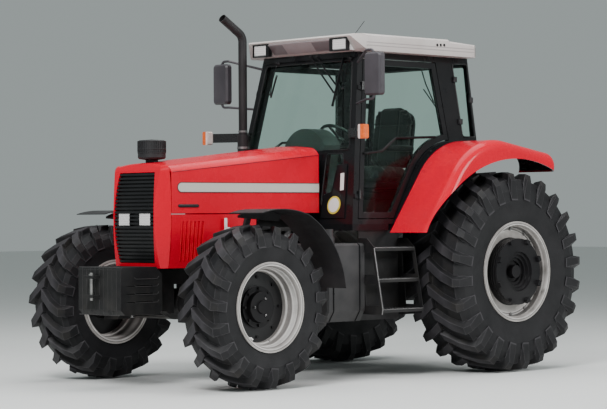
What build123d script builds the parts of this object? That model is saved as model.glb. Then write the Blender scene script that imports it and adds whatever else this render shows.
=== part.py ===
from build123d import *
import math
import os

# Four-wheel-drive farm tractor with a glazed cab, in millimetres.
# The tractor faces -Y, its left side is +X and +Z is up. The origin is on the ground, on
# the centreline, at the middle of the overall length.

os.makedirs("parts", exist_ok=True)

# ---------------------------------------------------------------- driving sizes
WHEELBASE = 2846
FRONT_HALF_TRACK = 971
REAR_HALF_TRACK = 1028
NOSE_REACH = 878          # front axle to the tip of the tow bracket
TAIL_REACH = 4010         # front axle to the rear end of the lower links
FRONT_AXLE_Y = (NOSE_REACH - TAIL_REACH) / 2
REAR_AXLE_Y = FRONT_AXLE_Y + WHEELBASE

RUNNING_FIT = 0.3         # clearance of what turns or seats in something else
PANEL_GAP = 8             # shut line round doors and lids

# Wheels: one row a wheel pair.
FRONT_TYRE_RADIUS = 655
FRONT_TYRE_WIDTH = 436
FRONT_RIM_RADIUS = 361
FRONT_RIM_WIDTH = 404
FRONT_LUGS = 19
REAR_TYRE_RADIUS = 878
REAR_TYRE_WIDTH = 598
REAR_RIM_RADIUS = 441
REAR_RIM_WIDTH = 542
REAR_LUGS = 24
LUG_HEIGHT = 42
LUG_PROUD = 9             # how far the lugs stand out of the sidewall
RIM_WALL = 12
RIM_DROP = 25             # rim edge down to the bead seat
RIM_WELL = 72             # rim edge down to the well

# Front axle and steering.
KINGPIN_X = 810
KINGPIN_RADIUS = 28
FRONT_DISC_X = 1000       # outer face of the front wheel's disc
REAR_DISC_X = 1205
GUARD_IN_X = 800
GUARD_OUT_X = 1190
GUARD_WALL = 6

# Bonnet and nose.
NOSE_SEAM = -352          # joint of nose and bonnet, from the front axle
BONNET_REAR = 1265
BONNET_LOW_Z = 1410
BONNET_WALL = 12
PANEL_LOW_Z = 965
PANEL_REAR = 560
NOSE_FRONT = -440

# Cab: a tapered box. Half width and ends are given at its floor and lean linearly.
CAB_LOW_Z = 1310
CAB_HIGH_Z = 2800
CAB_HALF_LOW = 785
CAB_HALF_HIGH = 596
CAB_FRONT_LOW = 1305      # from the front axle
CAB_FRONT_HIGH = 1573
CAB_REAR_LOW = 3013
CAB_REAR_HIGH = 2979
CAB_WALL = 52
CAB_PILLAR = 62
GLASS = 8
GLASS_INSET = 18
ROOF_HIGH_Z = 2946
ROOF_HALF = 742
DOOR_SILL_Z = 1352
DOOR_TOP_Z = 2748
DOOR_REAR_LOW = 2700
DOOR_REAR_HIGH = 2550
DOOR_THICK = 40
HINGE_RADIUS = 8

FENDER_IN_X = 800
FENDER_OUT_X = 1250
FENDER_WALL = 12


def back(distance):
    """Y of a station that lies a distance behind the front axle."""
    return FRONT_AXLE_Y + distance


def save(builder, label):
    """Name a finished piece and write its file."""
    builder.part.label = label
    export_step(builder.part, f"parts/{label}.step")


def cross_plane(distance):
    """Upright plane across the tractor: local x is X, local y is Z."""
    return Plane.XZ.offset(-back(distance))


def side_plane(x):
    """Upright plane along the tractor: local x is Y, local y is Z."""
    return Plane.YZ.offset(x)


# ---------------------------------------------------------------- wheels
# A wheel is drawn about the X axis with its middle at the origin, and then placed.
def revolved(points):
    """Ring about the X axis from (offset, radius) corners."""
    with BuildPart() as ring:
        with BuildSketch(Plane.XY):
            Polygon(*points, align=None)
        revolve(axis=Axis.X)
    return ring.part


def tyre(radius, width, rim_radius, rim_width, lugs):
    """Chevron-lugged tyre: a casing with two rows of lugs, half a pitch apart."""
    lug_end = width / 2
    half = lug_end - LUG_PROUD
    crown = radius - LUG_HEIGHT
    seat = rim_radius - RIM_DROP + RUNNING_FIT
    bead = rim_width / 2 - RIM_WALL - RUNNING_FIT
    wall = radius - seat
    casing = [
        (-bead, seat), (-bead, rim_radius + 8), (-half, seat + 0.45 * wall),
        (-half + 10, seat + 0.66 * wall), (-half * 0.84, crown - 26), (-half * 0.45, crown - 6),
        (half * 0.45, crown - 6), (half * 0.84, crown - 26), (half - 10, seat + 0.66 * wall),
        (half, seat + 0.45 * wall), (bead, rim_radius + 8), (bead, seat),
    ]
    pitch = 2 * math.pi / lugs
    spread = pitch * radius
    # Sections of one lug, from its nose at the middle of the tread down the sidewall:
    # across, turn in pitches, foot radius, tip radius, width at foot, width at tip
    sections = [
        (-half * 0.04, -0.37, crown - 14, radius, 0.50 * spread, 0.36 * spread),
        (half * 0.50, 0.09, crown - 20, radius - 2, 0.50 * spread, 0.35 * spread),
        (half * 0.93, 0.36, crown - 62, radius - 16, 0.46 * spread, 0.30 * spread),
        (lug_end, 0.40, seat + 0.46 * wall, radius - 74, 0.36 * spread, 0.26 * spread),
    ]
    with BuildPart() as left_lug:
        for across, turn, foot, tip, wide, narrow in sections:
            lean = turn * pitch
            with BuildSketch(Plane.YZ.offset(across)):
                Polygon(
                    (foot * math.cos(lean), foot * math.sin(lean) - wide / 2),
                    (tip * math.cos(lean), tip * math.sin(lean) - narrow / 2),
                    (tip * math.cos(lean), tip * math.sin(lean) + narrow / 2),
                    (foot * math.cos(lean), foot * math.sin(lean) + wide / 2),
                    align=None,
                )
        loft(ruled=True)
    with BuildPart() as right_lug:
        add(left_lug.part)
        mirror(about=Plane.YZ, mode=Mode.REPLACE)
    turns = [Location((0, 0, 0), (step * 360 / lugs, 0, 0)) for step in range(lugs)]
    half_turns = [Location((0, 0, 0), ((step + 0.5) * 360 / lugs, 0, 0)) for step in range(lugs)]
    with BuildPart() as whole:
        with BuildSketch(Plane.XY):
            Polygon(*casing, align=None)
        revolve(axis=Axis.X)
        with Locations(*turns):
            add(left_lug.part)
        with Locations(*half_turns):
            add(right_lug.part)
    return whole.part


def rim(radius, width, disc_x, disc_radius, hub_hole):
    """Stepped rim with its flat disc; the open side faces +X."""
    edge = width / 2
    seat = radius - RIM_DROP
    well = radius - RIM_WELL
    profile = [
        (edge, radius), (edge - RIM_WALL, radius), (edge - RIM_WALL, seat),
        (-edge + RIM_WALL, seat), (-edge + RIM_WALL, radius), (-edge, radius),
        (-edge, seat - RIM_WALL), (-edge * 0.30, well + 8), (-edge * 0.30 + RIM_WALL, well - 4),
        (edge * 0.30, well - 4), (edge * 0.36, well + 10), (edge * 0.58, well + 12),
        (edge * 0.62, seat - 24), (edge * 0.82, seat - 22), (edge * 0.86, seat - RIM_WALL),
        (edge, seat - RIM_WALL + 8),
    ]
    with BuildPart() as wheel:
        add(revolved(profile))
        with Locations(Location((disc_x, 0, 0), (0, 90, 0))):
            Cylinder(disc_radius, 2 * RIM_WALL, align=(Align.CENTER, Align.CENTER, Align.MAX))
            Cylinder(hub_hole, 2 * RIM_WALL, align=(Align.CENTER, Align.CENTER, Align.MAX),
                     mode=Mode.SUBTRACT)
    return wheel.part


front_tyre = tyre(FRONT_TYRE_RADIUS, FRONT_TYRE_WIDTH, FRONT_RIM_RADIUS, FRONT_RIM_WIDTH, FRONT_LUGS)
rear_tyre = tyre(REAR_TYRE_RADIUS, REAR_TYRE_WIDTH, REAR_RIM_RADIUS, REAR_RIM_WIDTH, REAR_LUGS)
front_disc = FRONT_DISC_X - FRONT_HALF_TRACK
rear_disc = REAR_DISC_X - REAR_HALF_TRACK
HUB_RADIUS = 150
HUB_FLANGE = 22
front_rim = rim(FRONT_RIM_RADIUS, FRONT_RIM_WIDTH, front_disc, FRONT_RIM_RADIUS - RIM_WELL, HUB_RADIUS)
rear_rim = rim(REAR_RIM_RADIUS, REAR_RIM_WIDTH, rear_disc, REAR_RIM_RADIUS - RIM_DROP - 6, HUB_RADIUS)

# Front hub: flange on the disc, planetary cover with three plugs, and the bearing sleeve.
SPINDLE_RADIUS = 70
FLANGE_RADIUS = 168
COVER_RADIUS = 122
COVER_FACE = front_disc + 64
with BuildPart() as front_hub:
    hub_back = KINGPIN_X + 95 - FRONT_HALF_TRACK
    add(revolved([
        (hub_back, SPINDLE_RADIUS + 1), (hub_back, 128), (front_disc - 36, 128),
        (front_disc - 24, HUB_RADIUS - RUNNING_FIT), (front_disc, HUB_RADIUS - RUNNING_FIT),
        (front_disc, FLANGE_RADIUS), (front_disc + HUB_FLANGE, FLANGE_RADIUS),
        (front_disc + HUB_FLANGE, COVER_RADIUS + 6), (COVER_FACE, COVER_RADIUS),
        (COVER_FACE, 56), (COVER_FACE + 14, 50), (COVER_FACE + 14, 0),
        (front_disc + 12, 0), (front_disc + 12, SPINDLE_RADIUS + 1),
    ]))
    with Locations(Plane(origin=(front_disc + HUB_FLANGE, 0, 0), x_dir=(0, 1, 0), z_dir=(1, 0, 0))):
        with PolarLocations((FLANGE_RADIUS + COVER_RADIUS) / 2 + 3, 8):
            Cylinder(12, 16, align=(Align.CENTER, Align.CENTER, Align.MIN))
    with Locations(Plane(origin=(COVER_FACE, 0, 0), x_dir=(0, 1, 0), z_dir=(1, 0, 0))):
        with PolarLocations(88, 3, start_angle=60):
            Cylinder(10, 8, align=(Align.CENTER, Align.CENTER, Align.MIN))

# Rear hub: ring weights stacked on the disc, with a stepped well round the axle's end.
RING_RADIUS = 292
RING_THICK = 26
RINGS = 4
RING_GROOVE = 6
STACK_FACE = rear_disc + RINGS * RING_THICK
WELL_STEPS = [(0, 176), (-22, 150), (-44, 124), (-66, 98)]
CLAMPS = 8
with BuildPart() as rear_hub:
    hub_back = rear_disc - 110
    edge_line = []
    for ring in range(RINGS):
        low = rear_disc + ring * RING_THICK
        edge_line += [(low, RING_RADIUS), (low + RING_THICK - RING_GROOVE, RING_RADIUS),
                      (low + RING_THICK - RING_GROOVE, RING_RADIUS - 8), (low + RING_THICK, RING_RADIUS - 8)]
    well_line = []
    for depth, radius in WELL_STEPS:
        well_line += [(STACK_FACE + depth, radius), (STACK_FACE + depth - 22, radius - 4)]
    add(revolved([
        (hub_back, 0), (hub_back, 120), (rear_disc - 36, 120),
        (rear_disc - 24, HUB_RADIUS - RUNNING_FIT), (rear_disc, HUB_RADIUS - RUNNING_FIT),
    ] + edge_line[:-2] + well_line + [(STACK_FACE - 88, 60), (STACK_FACE - 30, 56), (STACK_FACE - 30, 0)]))
    with Locations(Plane(origin=(STACK_FACE - RING_GROOVE, 0, 0), x_dir=(0, 1, 0), z_dir=(1, 0, 0))):
        with PolarLocations(RING_RADIUS - 14, CLAMPS, start_angle=360 / CLAMPS / 2):
            Box(34, 46, 30, align=(Align.CENTER, Align.CENTER, Align.MIN))

# The lugs at the bottom stand on the ground.
FRONT_AXLE_Z = -front_tyre.bounding_box().min.Z
REAR_AXLE_Z = -rear_tyre.bounding_box().min.Z

# Wheels as placed: name, left-hand piece, axle station, height, half track
WHEEL_PIECES = [
    ("front_tyre", front_tyre, FRONT_AXLE_Y, FRONT_AXLE_Z, FRONT_HALF_TRACK),
    ("front_rim", front_rim, FRONT_AXLE_Y, FRONT_AXLE_Z, FRONT_HALF_TRACK),
    ("front_hub", front_hub.part, FRONT_AXLE_Y, FRONT_AXLE_Z, FRONT_HALF_TRACK),
    ("rear_tyre", rear_tyre, REAR_AXLE_Y, REAR_AXLE_Z, REAR_HALF_TRACK),
    ("rear_rim", rear_rim, REAR_AXLE_Y, REAR_AXLE_Z, REAR_HALF_TRACK),
    ("rear_hub", rear_hub.part, REAR_AXLE_Y, REAR_AXLE_Z, REAR_HALF_TRACK),
]
for label, piece, station, height, half_track in WHEEL_PIECES:
    with BuildPart() as left:
        with Locations((half_track, station, height)):
            add(piece)
    with BuildPart() as right:
        add(left.part)
        mirror(about=Plane.YZ, mode=Mode.REPLACE)
    save(left, label + "_left")
    save(right, label + "_right")


# ---------------------------------------------------------------- front axle
# The beam carries a yoke at each end, and the kingpins stand in the yokes.
YOKE_GAP = 112            # half height of the yoke's mouth
YOKE_ARM = 34
KNUCKLE_HALF = YOKE_GAP - RUNNING_FIT
BEAM_HALF = 62
DIFF_RADIUS = 130
TRUNNION_RADIUS = 42      # the axle rocks on two trunnions that point fore and aft
HANGER_IN = 140
HANGER_OUT = 200
STEER_ARM = 200           # kingpin to tie rod pin
STEER_ARM_THICK = 40
ROD_PIN_RADIUS = 14
ROD_EYE_HIGH = 34
with BuildPart() as front_axle:
    with BuildSketch(Plane.YZ.offset(-KINGPIN_X + 150)) as beam_end:
        with Locations((FRONT_AXLE_Y, FRONT_AXLE_Z)):
            Rectangle(2 * BEAM_HALF, 2 * BEAM_HALF + 20)
        fillet(beam_end.vertices(), 26)
    extrude(amount=2 * (KINGPIN_X - 150))
    with Locations(Location((0, FRONT_AXLE_Y, FRONT_AXLE_Z), (0, 90, 0))):
        Cone(DIFF_RADIUS, 95, 130, align=(Align.CENTER, Align.CENTER, Align.MIN))
        Cone(95, DIFF_RADIUS, 130, align=(Align.CENTER, Align.CENTER, Align.MAX))
    with Locations(Location((0, FRONT_AXLE_Y, FRONT_AXLE_Z), (90, 0, 0))):
        Cylinder(TRUNNION_RADIUS, 2 * HANGER_OUT)
    for end in (-1, 1):
        with BuildSketch(Plane.XZ.offset(-FRONT_AXLE_Y + 70)):
            with BuildLine():
                Polyline(
                    (end * (KINGPIN_X - 190), FRONT_AXLE_Z - 60),
                    (end * (KINGPIN_X - 130), FRONT_AXLE_Z - YOKE_GAP - YOKE_ARM),
                    (end * (KINGPIN_X + 46), FRONT_AXLE_Z - YOKE_GAP - YOKE_ARM),
                    (end * (KINGPIN_X + 46), FRONT_AXLE_Z - YOKE_GAP),
                    (end * (KINGPIN_X - 104), FRONT_AXLE_Z - YOKE_GAP),
                    (end * (KINGPIN_X - 104), FRONT_AXLE_Z + YOKE_GAP),
                    (end * (KINGPIN_X + 46), FRONT_AXLE_Z + YOKE_GAP),
                    (end * (KINGPIN_X + 46), FRONT_AXLE_Z + YOKE_GAP + YOKE_ARM),
                    (end * (KINGPIN_X - 130), FRONT_AXLE_Z + YOKE_GAP + YOKE_ARM),
                    (end * (KINGPIN_X - 190), FRONT_AXLE_Z + 60),
                    close=True,
                )
            make_face()
        extrude(amount=-140)
    with Locations((-KINGPIN_X, FRONT_AXLE_Y, FRONT_AXLE_Z), (KINGPIN_X, FRONT_AXLE_Y, FRONT_AXLE_Z)):
        Cylinder(KINGPIN_RADIUS + RUNNING_FIT, 400, mode=Mode.SUBTRACT)
save(front_axle, "front_axle")

# Knuckle: swivel housing with its two kingpins, the spindle, and the guard's arm.
with BuildPart() as knuckle_left:
    with Locations((KINGPIN_X, FRONT_AXLE_Y, FRONT_AXLE_Z)):
        Cylinder(82, 2 * KNUCKLE_HALF)
        Cylinder(KINGPIN_RADIUS, 2 * (YOKE_GAP + YOKE_ARM) + 12)
    with Locations(Location((KINGPIN_X, FRONT_AXLE_Y, FRONT_AXLE_Z), (0, 90, 0))):
        Cylinder(SPINDLE_RADIUS, front_disc + FRONT_HALF_TRACK - KINGPIN_X + 10,
                 align=(Align.CENTER, Align.CENTER, Align.MIN))
    with BuildSketch(Plane.XY.offset(FRONT_AXLE_Z - KNUCKLE_HALF)):
        with Locations((KINGPIN_X, FRONT_AXLE_Y + STEER_ARM / 2)):
            SlotCenterToCenter(STEER_ARM, 52, rotation=90)
    extrude(amount=STEER_ARM_THICK)
    with Locations((KINGPIN_X, FRONT_AXLE_Y + STEER_ARM, FRONT_AXLE_Z - KNUCKLE_HALF)):
        Cylinder(ROD_PIN_RADIUS, ROD_EYE_HIGH + 6, align=(Align.CENTER, Align.CENTER, Align.MAX))
save(knuckle_left, "knuckle_left")
with BuildPart() as knuckle_right:
    add(knuckle_left.part)
    mirror(about=Plane.YZ, mode=Mode.REPLACE)
save(knuckle_right, "knuckle_right")

# Tie rod between the two steering arms.
with BuildPart() as tie_rod:
    rod_z = FRONT_AXLE_Z - KNUCKLE_HALF - RUNNING_FIT - ROD_EYE_HIGH / 2
    rod_ends = [(side * KINGPIN_X, FRONT_AXLE_Y + STEER_ARM, rod_z) for side in (-1, 1)]
    with Locations(*rod_ends):
        Cylinder(27, ROD_EYE_HIGH)
    with Locations(Location((0, FRONT_AXLE_Y + STEER_ARM, rod_z), (0, 90, 0))):
        Cylinder(15, 2 * KINGPIN_X - 30)
    with Locations(*rod_ends):
        Cylinder(ROD_PIN_RADIUS + RUNNING_FIT, ROD_EYE_HIGH, mode=Mode.SUBTRACT)
save(tie_rod, "tie_rod")

# Mudguard: a curved sheet over the wheel, on a bent arm from the top kingpin.
GUARD_FRONT = (-105, 1412)     # side view, from the front axle and from the ground
GUARD_TOP = (225, 1442)
GUARD_BACK = (640, 1213)
GUARD_LOW = (826, 790)
GUARD_ARM = 52            # width of the arm
GUARD_BAR = 30
GUARD_LEAN = 190          # how far the arm leans back on its way up
GUARD_POST_X = 690
KINGPIN_TOP = FRONT_AXLE_Z + YOKE_GAP + YOKE_ARM + 6
with BuildPart() as guard_left:
    with BuildSketch(side_plane(GUARD_IN_X)):
        with BuildLine() as guard_line:
            over = ThreePointArc(
                (back(GUARD_FRONT[0]), GUARD_FRONT[1]),
                (back(GUARD_TOP[0]) - 80, GUARD_TOP[1]),
                (back(GUARD_TOP[0]) + 180, GUARD_TOP[1] - 46),
            )
            down = ThreePointArc(
                over @ 1, (back(GUARD_BACK[0]), GUARD_BACK[1]), (back(GUARD_LOW[0]), GUARD_LOW[1]),
            )
            offset(amount=-GUARD_WALL, side=Side.RIGHT)
        make_face()
    extrude(amount=GUARD_OUT_X - GUARD_IN_X)
    post_high = GUARD_TOP[1] - GUARD_WALL - 34
    with Locations((GUARD_POST_X, FRONT_AXLE_Y, KINGPIN_TOP + RUNNING_FIT)):
        Box(KINGPIN_X + 30 - GUARD_POST_X, GUARD_ARM, GUARD_BAR, align=(Align.MIN, Align.CENTER, Align.MIN))
    with BuildSketch(side_plane(GUARD_POST_X)):
        Polygon((back(-GUARD_ARM / 2), KINGPIN_TOP + RUNNING_FIT),
                (back(GUARD_ARM / 2), KINGPIN_TOP + RUNNING_FIT),
                (back(GUARD_LEAN + GUARD_ARM / 2), post_high), (back(GUARD_LEAN - GUARD_ARM / 2), post_high),
                align=None)
    extrude(amount=GUARD_BAR)
    with Locations((GUARD_POST_X, back(GUARD_LEAN), post_high)):
        Box(GUARD_IN_X + 60 - GUARD_POST_X, GUARD_ARM, GUARD_BAR, align=(Align.MIN, Align.CENTER, Align.MAX))
    with BuildSketch(side_plane(GUARD_IN_X + 30)):
        with BuildLine():
            strap = ThreePointArc(
                (back(GUARD_FRONT[0]) + 60, post_high - 12),
                (back(GUARD_TOP[0]) - 80, GUARD_TOP[1] - GUARD_WALL),
                (back(GUARD_TOP[0]) + 180, GUARD_TOP[1] - 46 - GUARD_WALL),
            )
            Line(strap @ 1, (back(GUARD_TOP[0]) + 160, post_high - 60))
            Line((back(GUARD_TOP[0]) + 160, post_high - 60), (back(GUARD_FRONT[0]) + 60, post_high - 30))
            Line((back(GUARD_FRONT[0]) + 60, post_high - 30), strap @ 0)
        make_face()
    extrude(amount=30)
save(guard_left, "mudguard_left")
with BuildPart() as guard_right:
    add(guard_left.part)
    mirror(about=Plane.YZ, mode=Mode.REPLACE)
save(guard_right, "mudguard_right")

# ---------------------------------------------------------------- chassis
FRAME_LOW_Z = FRONT_AXLE_Z + DIFF_RADIUS + 40
FRAME_HIGH_Z = 950
FRAME_HALF = 150
FRAME_WING = 290
FRAME_FRONT = -372
ENGINE_FRONT = 220
ENGINE_REAR = 1180
HOUSING_REAR = 3110
TRANSMISSION_REAR = 2560
GEARBOX_HALF = 215
GEARBOX_TOP_Z = 1120
ENGINE_HALF = 232
EXHAUST_PORT = 1100
EXHAUST_PORT_X = 170
EXHAUST_LOW_Z = 1330
with BuildPart() as front_frame:
    with BuildSketch(side_plane(-FRAME_HALF)):
        with BuildLine():
            Polyline(
                (back(FRAME_FRONT), 640), (back(FRAME_FRONT + 60), 610), (back(-HANGER_OUT - 30), 610),
                (back(-HANGER_OUT), FRONT_AXLE_Z - 70), (back(-HANGER_IN), FRONT_AXLE_Z - 70),
                (back(-HANGER_IN), FRAME_LOW_Z), (back(HANGER_IN), FRAME_LOW_Z),
                (back(HANGER_IN), FRONT_AXLE_Z - 70), (back(HANGER_OUT), FRONT_AXLE_Z - 70),
                (back(ENGINE_FRONT), 640), (back(ENGINE_FRONT), FRAME_HIGH_Z),
                (back(FRAME_FRONT), FRAME_HIGH_Z), close=True,
            )
        make_face()
    extrude(amount=2 * FRAME_HALF)
    with Locations(Location((0, FRONT_AXLE_Y, FRONT_AXLE_Z), (90, 0, 0))):
        Cylinder(TRUNNION_RADIUS + RUNNING_FIT, 2 * HANGER_OUT + 40, mode=Mode.SUBTRACT)
    with Locations((0, back(0), FRAME_HIGH_Z)):
        Box(2 * FRAME_WING, 300, 22, align=(Align.CENTER, Align.CENTER, Align.MIN))
save(front_frame, "front_frame")

with BuildPart() as engine_block:
    with BuildSketch(cross_plane(ENGINE_FRONT)):
        Polygon((-150, 620), (150, 620), (170, 800), (ENGINE_HALF, 830), (ENGINE_HALF, 1120), (150, 1300),
                (120, 1420), (-120, 1420), (-150, 1300), (-ENGINE_HALF, 1120), (-ENGINE_HALF, 830),
                (-170, 800), align=None)
    extrude(amount=-(ENGINE_REAR - ENGINE_FRONT))
    with Locations((-EXHAUST_PORT_X, back(EXHAUST_PORT), EXHAUST_LOW_Z)):
        Box(60, 130, 100, align=(Align.MIN, Align.CENTER, Align.CENTER))
save(engine_block, "engine_block")

with BuildPart() as transmission:
    with BuildSketch(cross_plane(ENGINE_REAR)):
        Polygon((-230, 700), (-120, 600), (120, 600), (230, 700), (270, 900), (230, 1150),
                (-230, 1150), (-270, 900), align=None)
    with BuildSketch(cross_plane(ENGINE_REAR + 260)):
        Polygon((-190, 700), (-100, 600), (100, 600), (190, 700), (GEARBOX_HALF, 900), (190, 1120),
                (-190, 1120), (-GEARBOX_HALF, 900), align=None)
    loft(ruled=True)
    with BuildSketch(cross_plane(ENGINE_REAR + 260)):
        Polygon((-190, 700), (-100, 600), (100, 600), (190, 700), (GEARBOX_HALF, 850),
                (GEARBOX_HALF, 950), (190, GEARBOX_TOP_Z), (-190, GEARBOX_TOP_Z), (-GEARBOX_HALF, 950),
                (-GEARBOX_HALF, 850), (-190, 700), align=None)
    extrude(amount=-(TRANSMISSION_REAR - ENGINE_REAR - 260))
save(transmission, "transmission")

TRUMPET_END = REAR_HALF_TRACK + rear_disc - 110 - RUNNING_FIT
PTO_Z = 700
PTO_RADIUS = 17.45
PTO_BOSS = 24
LINK_PIVOT_Y = HOUSING_REAR - 80
LINK_PIVOT_Z = 680
LINK_PIN_RADIUS = 24
LINK_FRONT_X = 290
LINK_THICK = 32
ROCKSHAFT_Y = HOUSING_REAR + 40
ROCKSHAFT_Z = 1215
ROCKSHAFT_RADIUS = 34
LIFT_ARM_X = 300
TOP_LINK_EAR = 52
TOP_LINK_REACH = 56
TOP_LINK_Z = 1025
TOP_PIN_RADIUS = 15.8     # category 3 top link pins
DRAWBAR_TOP_Z = 520
with BuildPart() as rear_axle:
    with BuildSketch(cross_plane(TRANSMISSION_REAR)) as centre_case:
        with Locations((0, 890)):
            Rectangle(500, 560)
        chamfer(centre_case.vertices(), 60)
    extrude(amount=-(HOUSING_REAR - TRANSMISSION_REAR))
    with Locations(Location((0, REAR_AXLE_Y, REAR_AXLE_Z), (0, 90, 0))):
        Cone(215, 130, 560, align=(Align.CENTER, Align.CENTER, Align.MIN))
        Cone(130, 215, 560, align=(Align.CENTER, Align.CENTER, Align.MAX))
        Cylinder(118, 2 * TRUMPET_END)
    with Locations(Location((0, back(HOUSING_REAR), PTO_Z), (-90, 0, 0))):
        Cylinder(70, PTO_BOSS, align=(Align.CENTER, Align.CENTER, Align.MIN))
        Cylinder(PTO_RADIUS, PTO_BOSS + 86, align=(Align.CENTER, Align.CENTER, Align.MIN))
    with Locations(Location((0, back(LINK_PIVOT_Y), LINK_PIVOT_Z), (0, 90, 0))):
        Cylinder(LINK_PIN_RADIUS, 2 * (LINK_FRONT_X + LINK_THICK))
    with Locations(Location((0, back(ROCKSHAFT_Y), ROCKSHAFT_Z), (0, 90, 0))):
        Cylinder(62, 2 * (LIFT_ARM_X - LINK_THICK))
        Cylinder(ROCKSHAFT_RADIUS, 2 * (LIFT_ARM_X + LINK_THICK))
    with Locations((0, back(ROCKSHAFT_Y), ROCKSHAFT_Z)):
        Box(240, 160, ROCKSHAFT_Z - 1120, align=(Align.CENTER, Align.CENTER, Align.MAX))
    with BuildSketch(side_plane(-TOP_LINK_EAR)):
        Polygon((back(HOUSING_REAR - 4), TOP_LINK_Z - 65), (back(HOUSING_REAR + 86), TOP_LINK_Z - 35),
                (back(HOUSING_REAR + 86), TOP_LINK_Z + 35), (back(HOUSING_REAR - 4), TOP_LINK_Z + 75), align=None)
    extrude(amount=2 * TOP_LINK_EAR)
    with Locations((0, back(HOUSING_REAR + 52), TOP_LINK_Z)):
        Box(2 * TOP_LINK_EAR - 40, 100, 200, mode=Mode.SUBTRACT)
    with Locations(Location((0, back(HOUSING_REAR + TOP_LINK_REACH), TOP_LINK_Z), (0, 90, 0))):
        Cylinder(TOP_PIN_RADIUS, 2 * TOP_LINK_EAR + 30)
    with Locations((0, back(HOUSING_REAR), 610)):
        Box(200, 120, 610 - DRAWBAR_TOP_Z, align=(Align.CENTER, Align.MAX, Align.MAX))
save(rear_axle, "rear_axle")


# ---------------------------------------------------------------- bonnet and nose
# Half sections of the engine covers: seam at the nose, and the bonnet's rear end.
SEAM_HALF = 368
SEAM_CREASE_Z = 1748
SEAM_SHOULDER = (278, 1802)
SEAM_CROWN_Z = 1824
REAR_HALF = 420
REAR_CREASE_Z = 1908
REAR_SHOULDER = (318, 1972)
REAR_CROWN_Z = 1990
SEAM_GAP = 10
COVER_TAPER = (REAR_HALF - SEAM_HALF) / (BONNET_REAR - NOSE_SEAM)


def bonnet_section(distance, half, crease, shoulder, crown, low, inset):
    """Arched section of the bonnet on its station, drawn inwards by an inset."""
    with BuildSketch(cross_plane(distance)) as section:
        with BuildLine():
            left_low = (-half + inset, low)
            left_crease = (-half + inset, crease - inset / 2)
            left_shoulder = (-shoulder[0] + inset / 2, shoulder[1] - inset)
            right_low = (half - inset, low)
            right_crease = (half - inset, crease - inset / 2)
            right_shoulder = (shoulder[0] - inset / 2, shoulder[1] - inset)
            Line(left_low, left_crease)
            ThreePointArc(left_crease, (-half + inset + 24, crease + 30 - inset), left_shoulder)
            ThreePointArc(left_shoulder, (0, crown - inset), right_shoulder)
            ThreePointArc(right_shoulder, (half - inset - 24, crease + 30 - inset), right_crease)
            Line(right_crease, right_low)
            Line(right_low, left_low)
        make_face()
    return section.sketch


with BuildPart() as bonnet_core:
    add(bonnet_section(NOSE_SEAM - 40, SEAM_HALF - 40 * COVER_TAPER, SEAM_CREASE_Z - 4,
                       SEAM_SHOULDER, SEAM_CROWN_Z - 4, BONNET_LOW_Z - 20, BONNET_WALL))
    add(bonnet_section(BONNET_REAR + 40, REAR_HALF + 40 * COVER_TAPER, REAR_CREASE_Z + 4,
                       REAR_SHOULDER, REAR_CROWN_Z + 4, BONNET_LOW_Z - 20, BONNET_WALL))
    loft(ruled=True)
BONNET_HINGE_Y = 1200
BONNET_HINGE_Z = 1900
BONNET_PIN = 10
BONNET_LUG_X = 240
STEM_RADIUS = 52
PRECLEANER_Y = -244
with BuildPart() as bonnet:
    add(bonnet_section(NOSE_SEAM + SEAM_GAP, SEAM_HALF, SEAM_CREASE_Z, SEAM_SHOULDER,
                       SEAM_CROWN_Z, BONNET_LOW_Z, 0))
    add(bonnet_section(BONNET_REAR, REAR_HALF, REAR_CREASE_Z, REAR_SHOULDER,
                       REAR_CROWN_Z, BONNET_LOW_Z, 0))
    loft(ruled=True)
    add(bonnet_core.part, mode=Mode.SUBTRACT)
    with Locations((0, back(PRECLEANER_Y), SEAM_CROWN_Z)):
        Cylinder(STEM_RADIUS, 120, mode=Mode.SUBTRACT)
    for side in (-1, 1):
        with Locations((side * BONNET_LUG_X, back(BONNET_HINGE_Y), BONNET_HINGE_Z - 20)):
            Box(36, 48, 85, align=(Align.CENTER, Align.CENTER, Align.MIN))
    with Locations(Location((0, back(BONNET_HINGE_Y), BONNET_HINGE_Z), (0, 90, 0))):
        Cylinder(BONNET_PIN + RUNNING_FIT, 600, mode=Mode.SUBTRACT)
save(bonnet, "bonnet")

# Bonnet stripes: a thin band on each side with a round front end.
STRIPE_LOW_Z = 1580
STRIPE_HIGH_Z = 1664
STRIPE_FRONT = -285
STRIPE_WALL = 3
stripe_out = SEAM_HALF + COVER_TAPER * (STRIPE_FRONT - NOSE_SEAM)
stripe_plane = Plane(
    origin=(stripe_out, back(STRIPE_FRONT), (STRIPE_LOW_Z + STRIPE_HIGH_Z) / 2),
    x_dir=(COVER_TAPER, 1, 0), z_dir=(1, -COVER_TAPER, 0),
)
stripe_long = (BONNET_REAR - STRIPE_FRONT) * math.hypot(1, COVER_TAPER)
with BuildPart() as bonnet_stripes:
    with BuildSketch(stripe_plane) as stripe:
        with Locations((0, 0)):
            Rectangle(stripe_long, STRIPE_HIGH_Z - STRIPE_LOW_Z, align=(Align.MIN, Align.CENTER))
        fillet(stripe.vertices().group_by(Axis.X)[0], (STRIPE_HIGH_Z - STRIPE_LOW_Z) / 2 - 2)
    extrude(amount=STRIPE_WALL)
    mirror(about=Plane.YZ)
save(bonnet_stripes, "bonnet_stripes")

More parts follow.
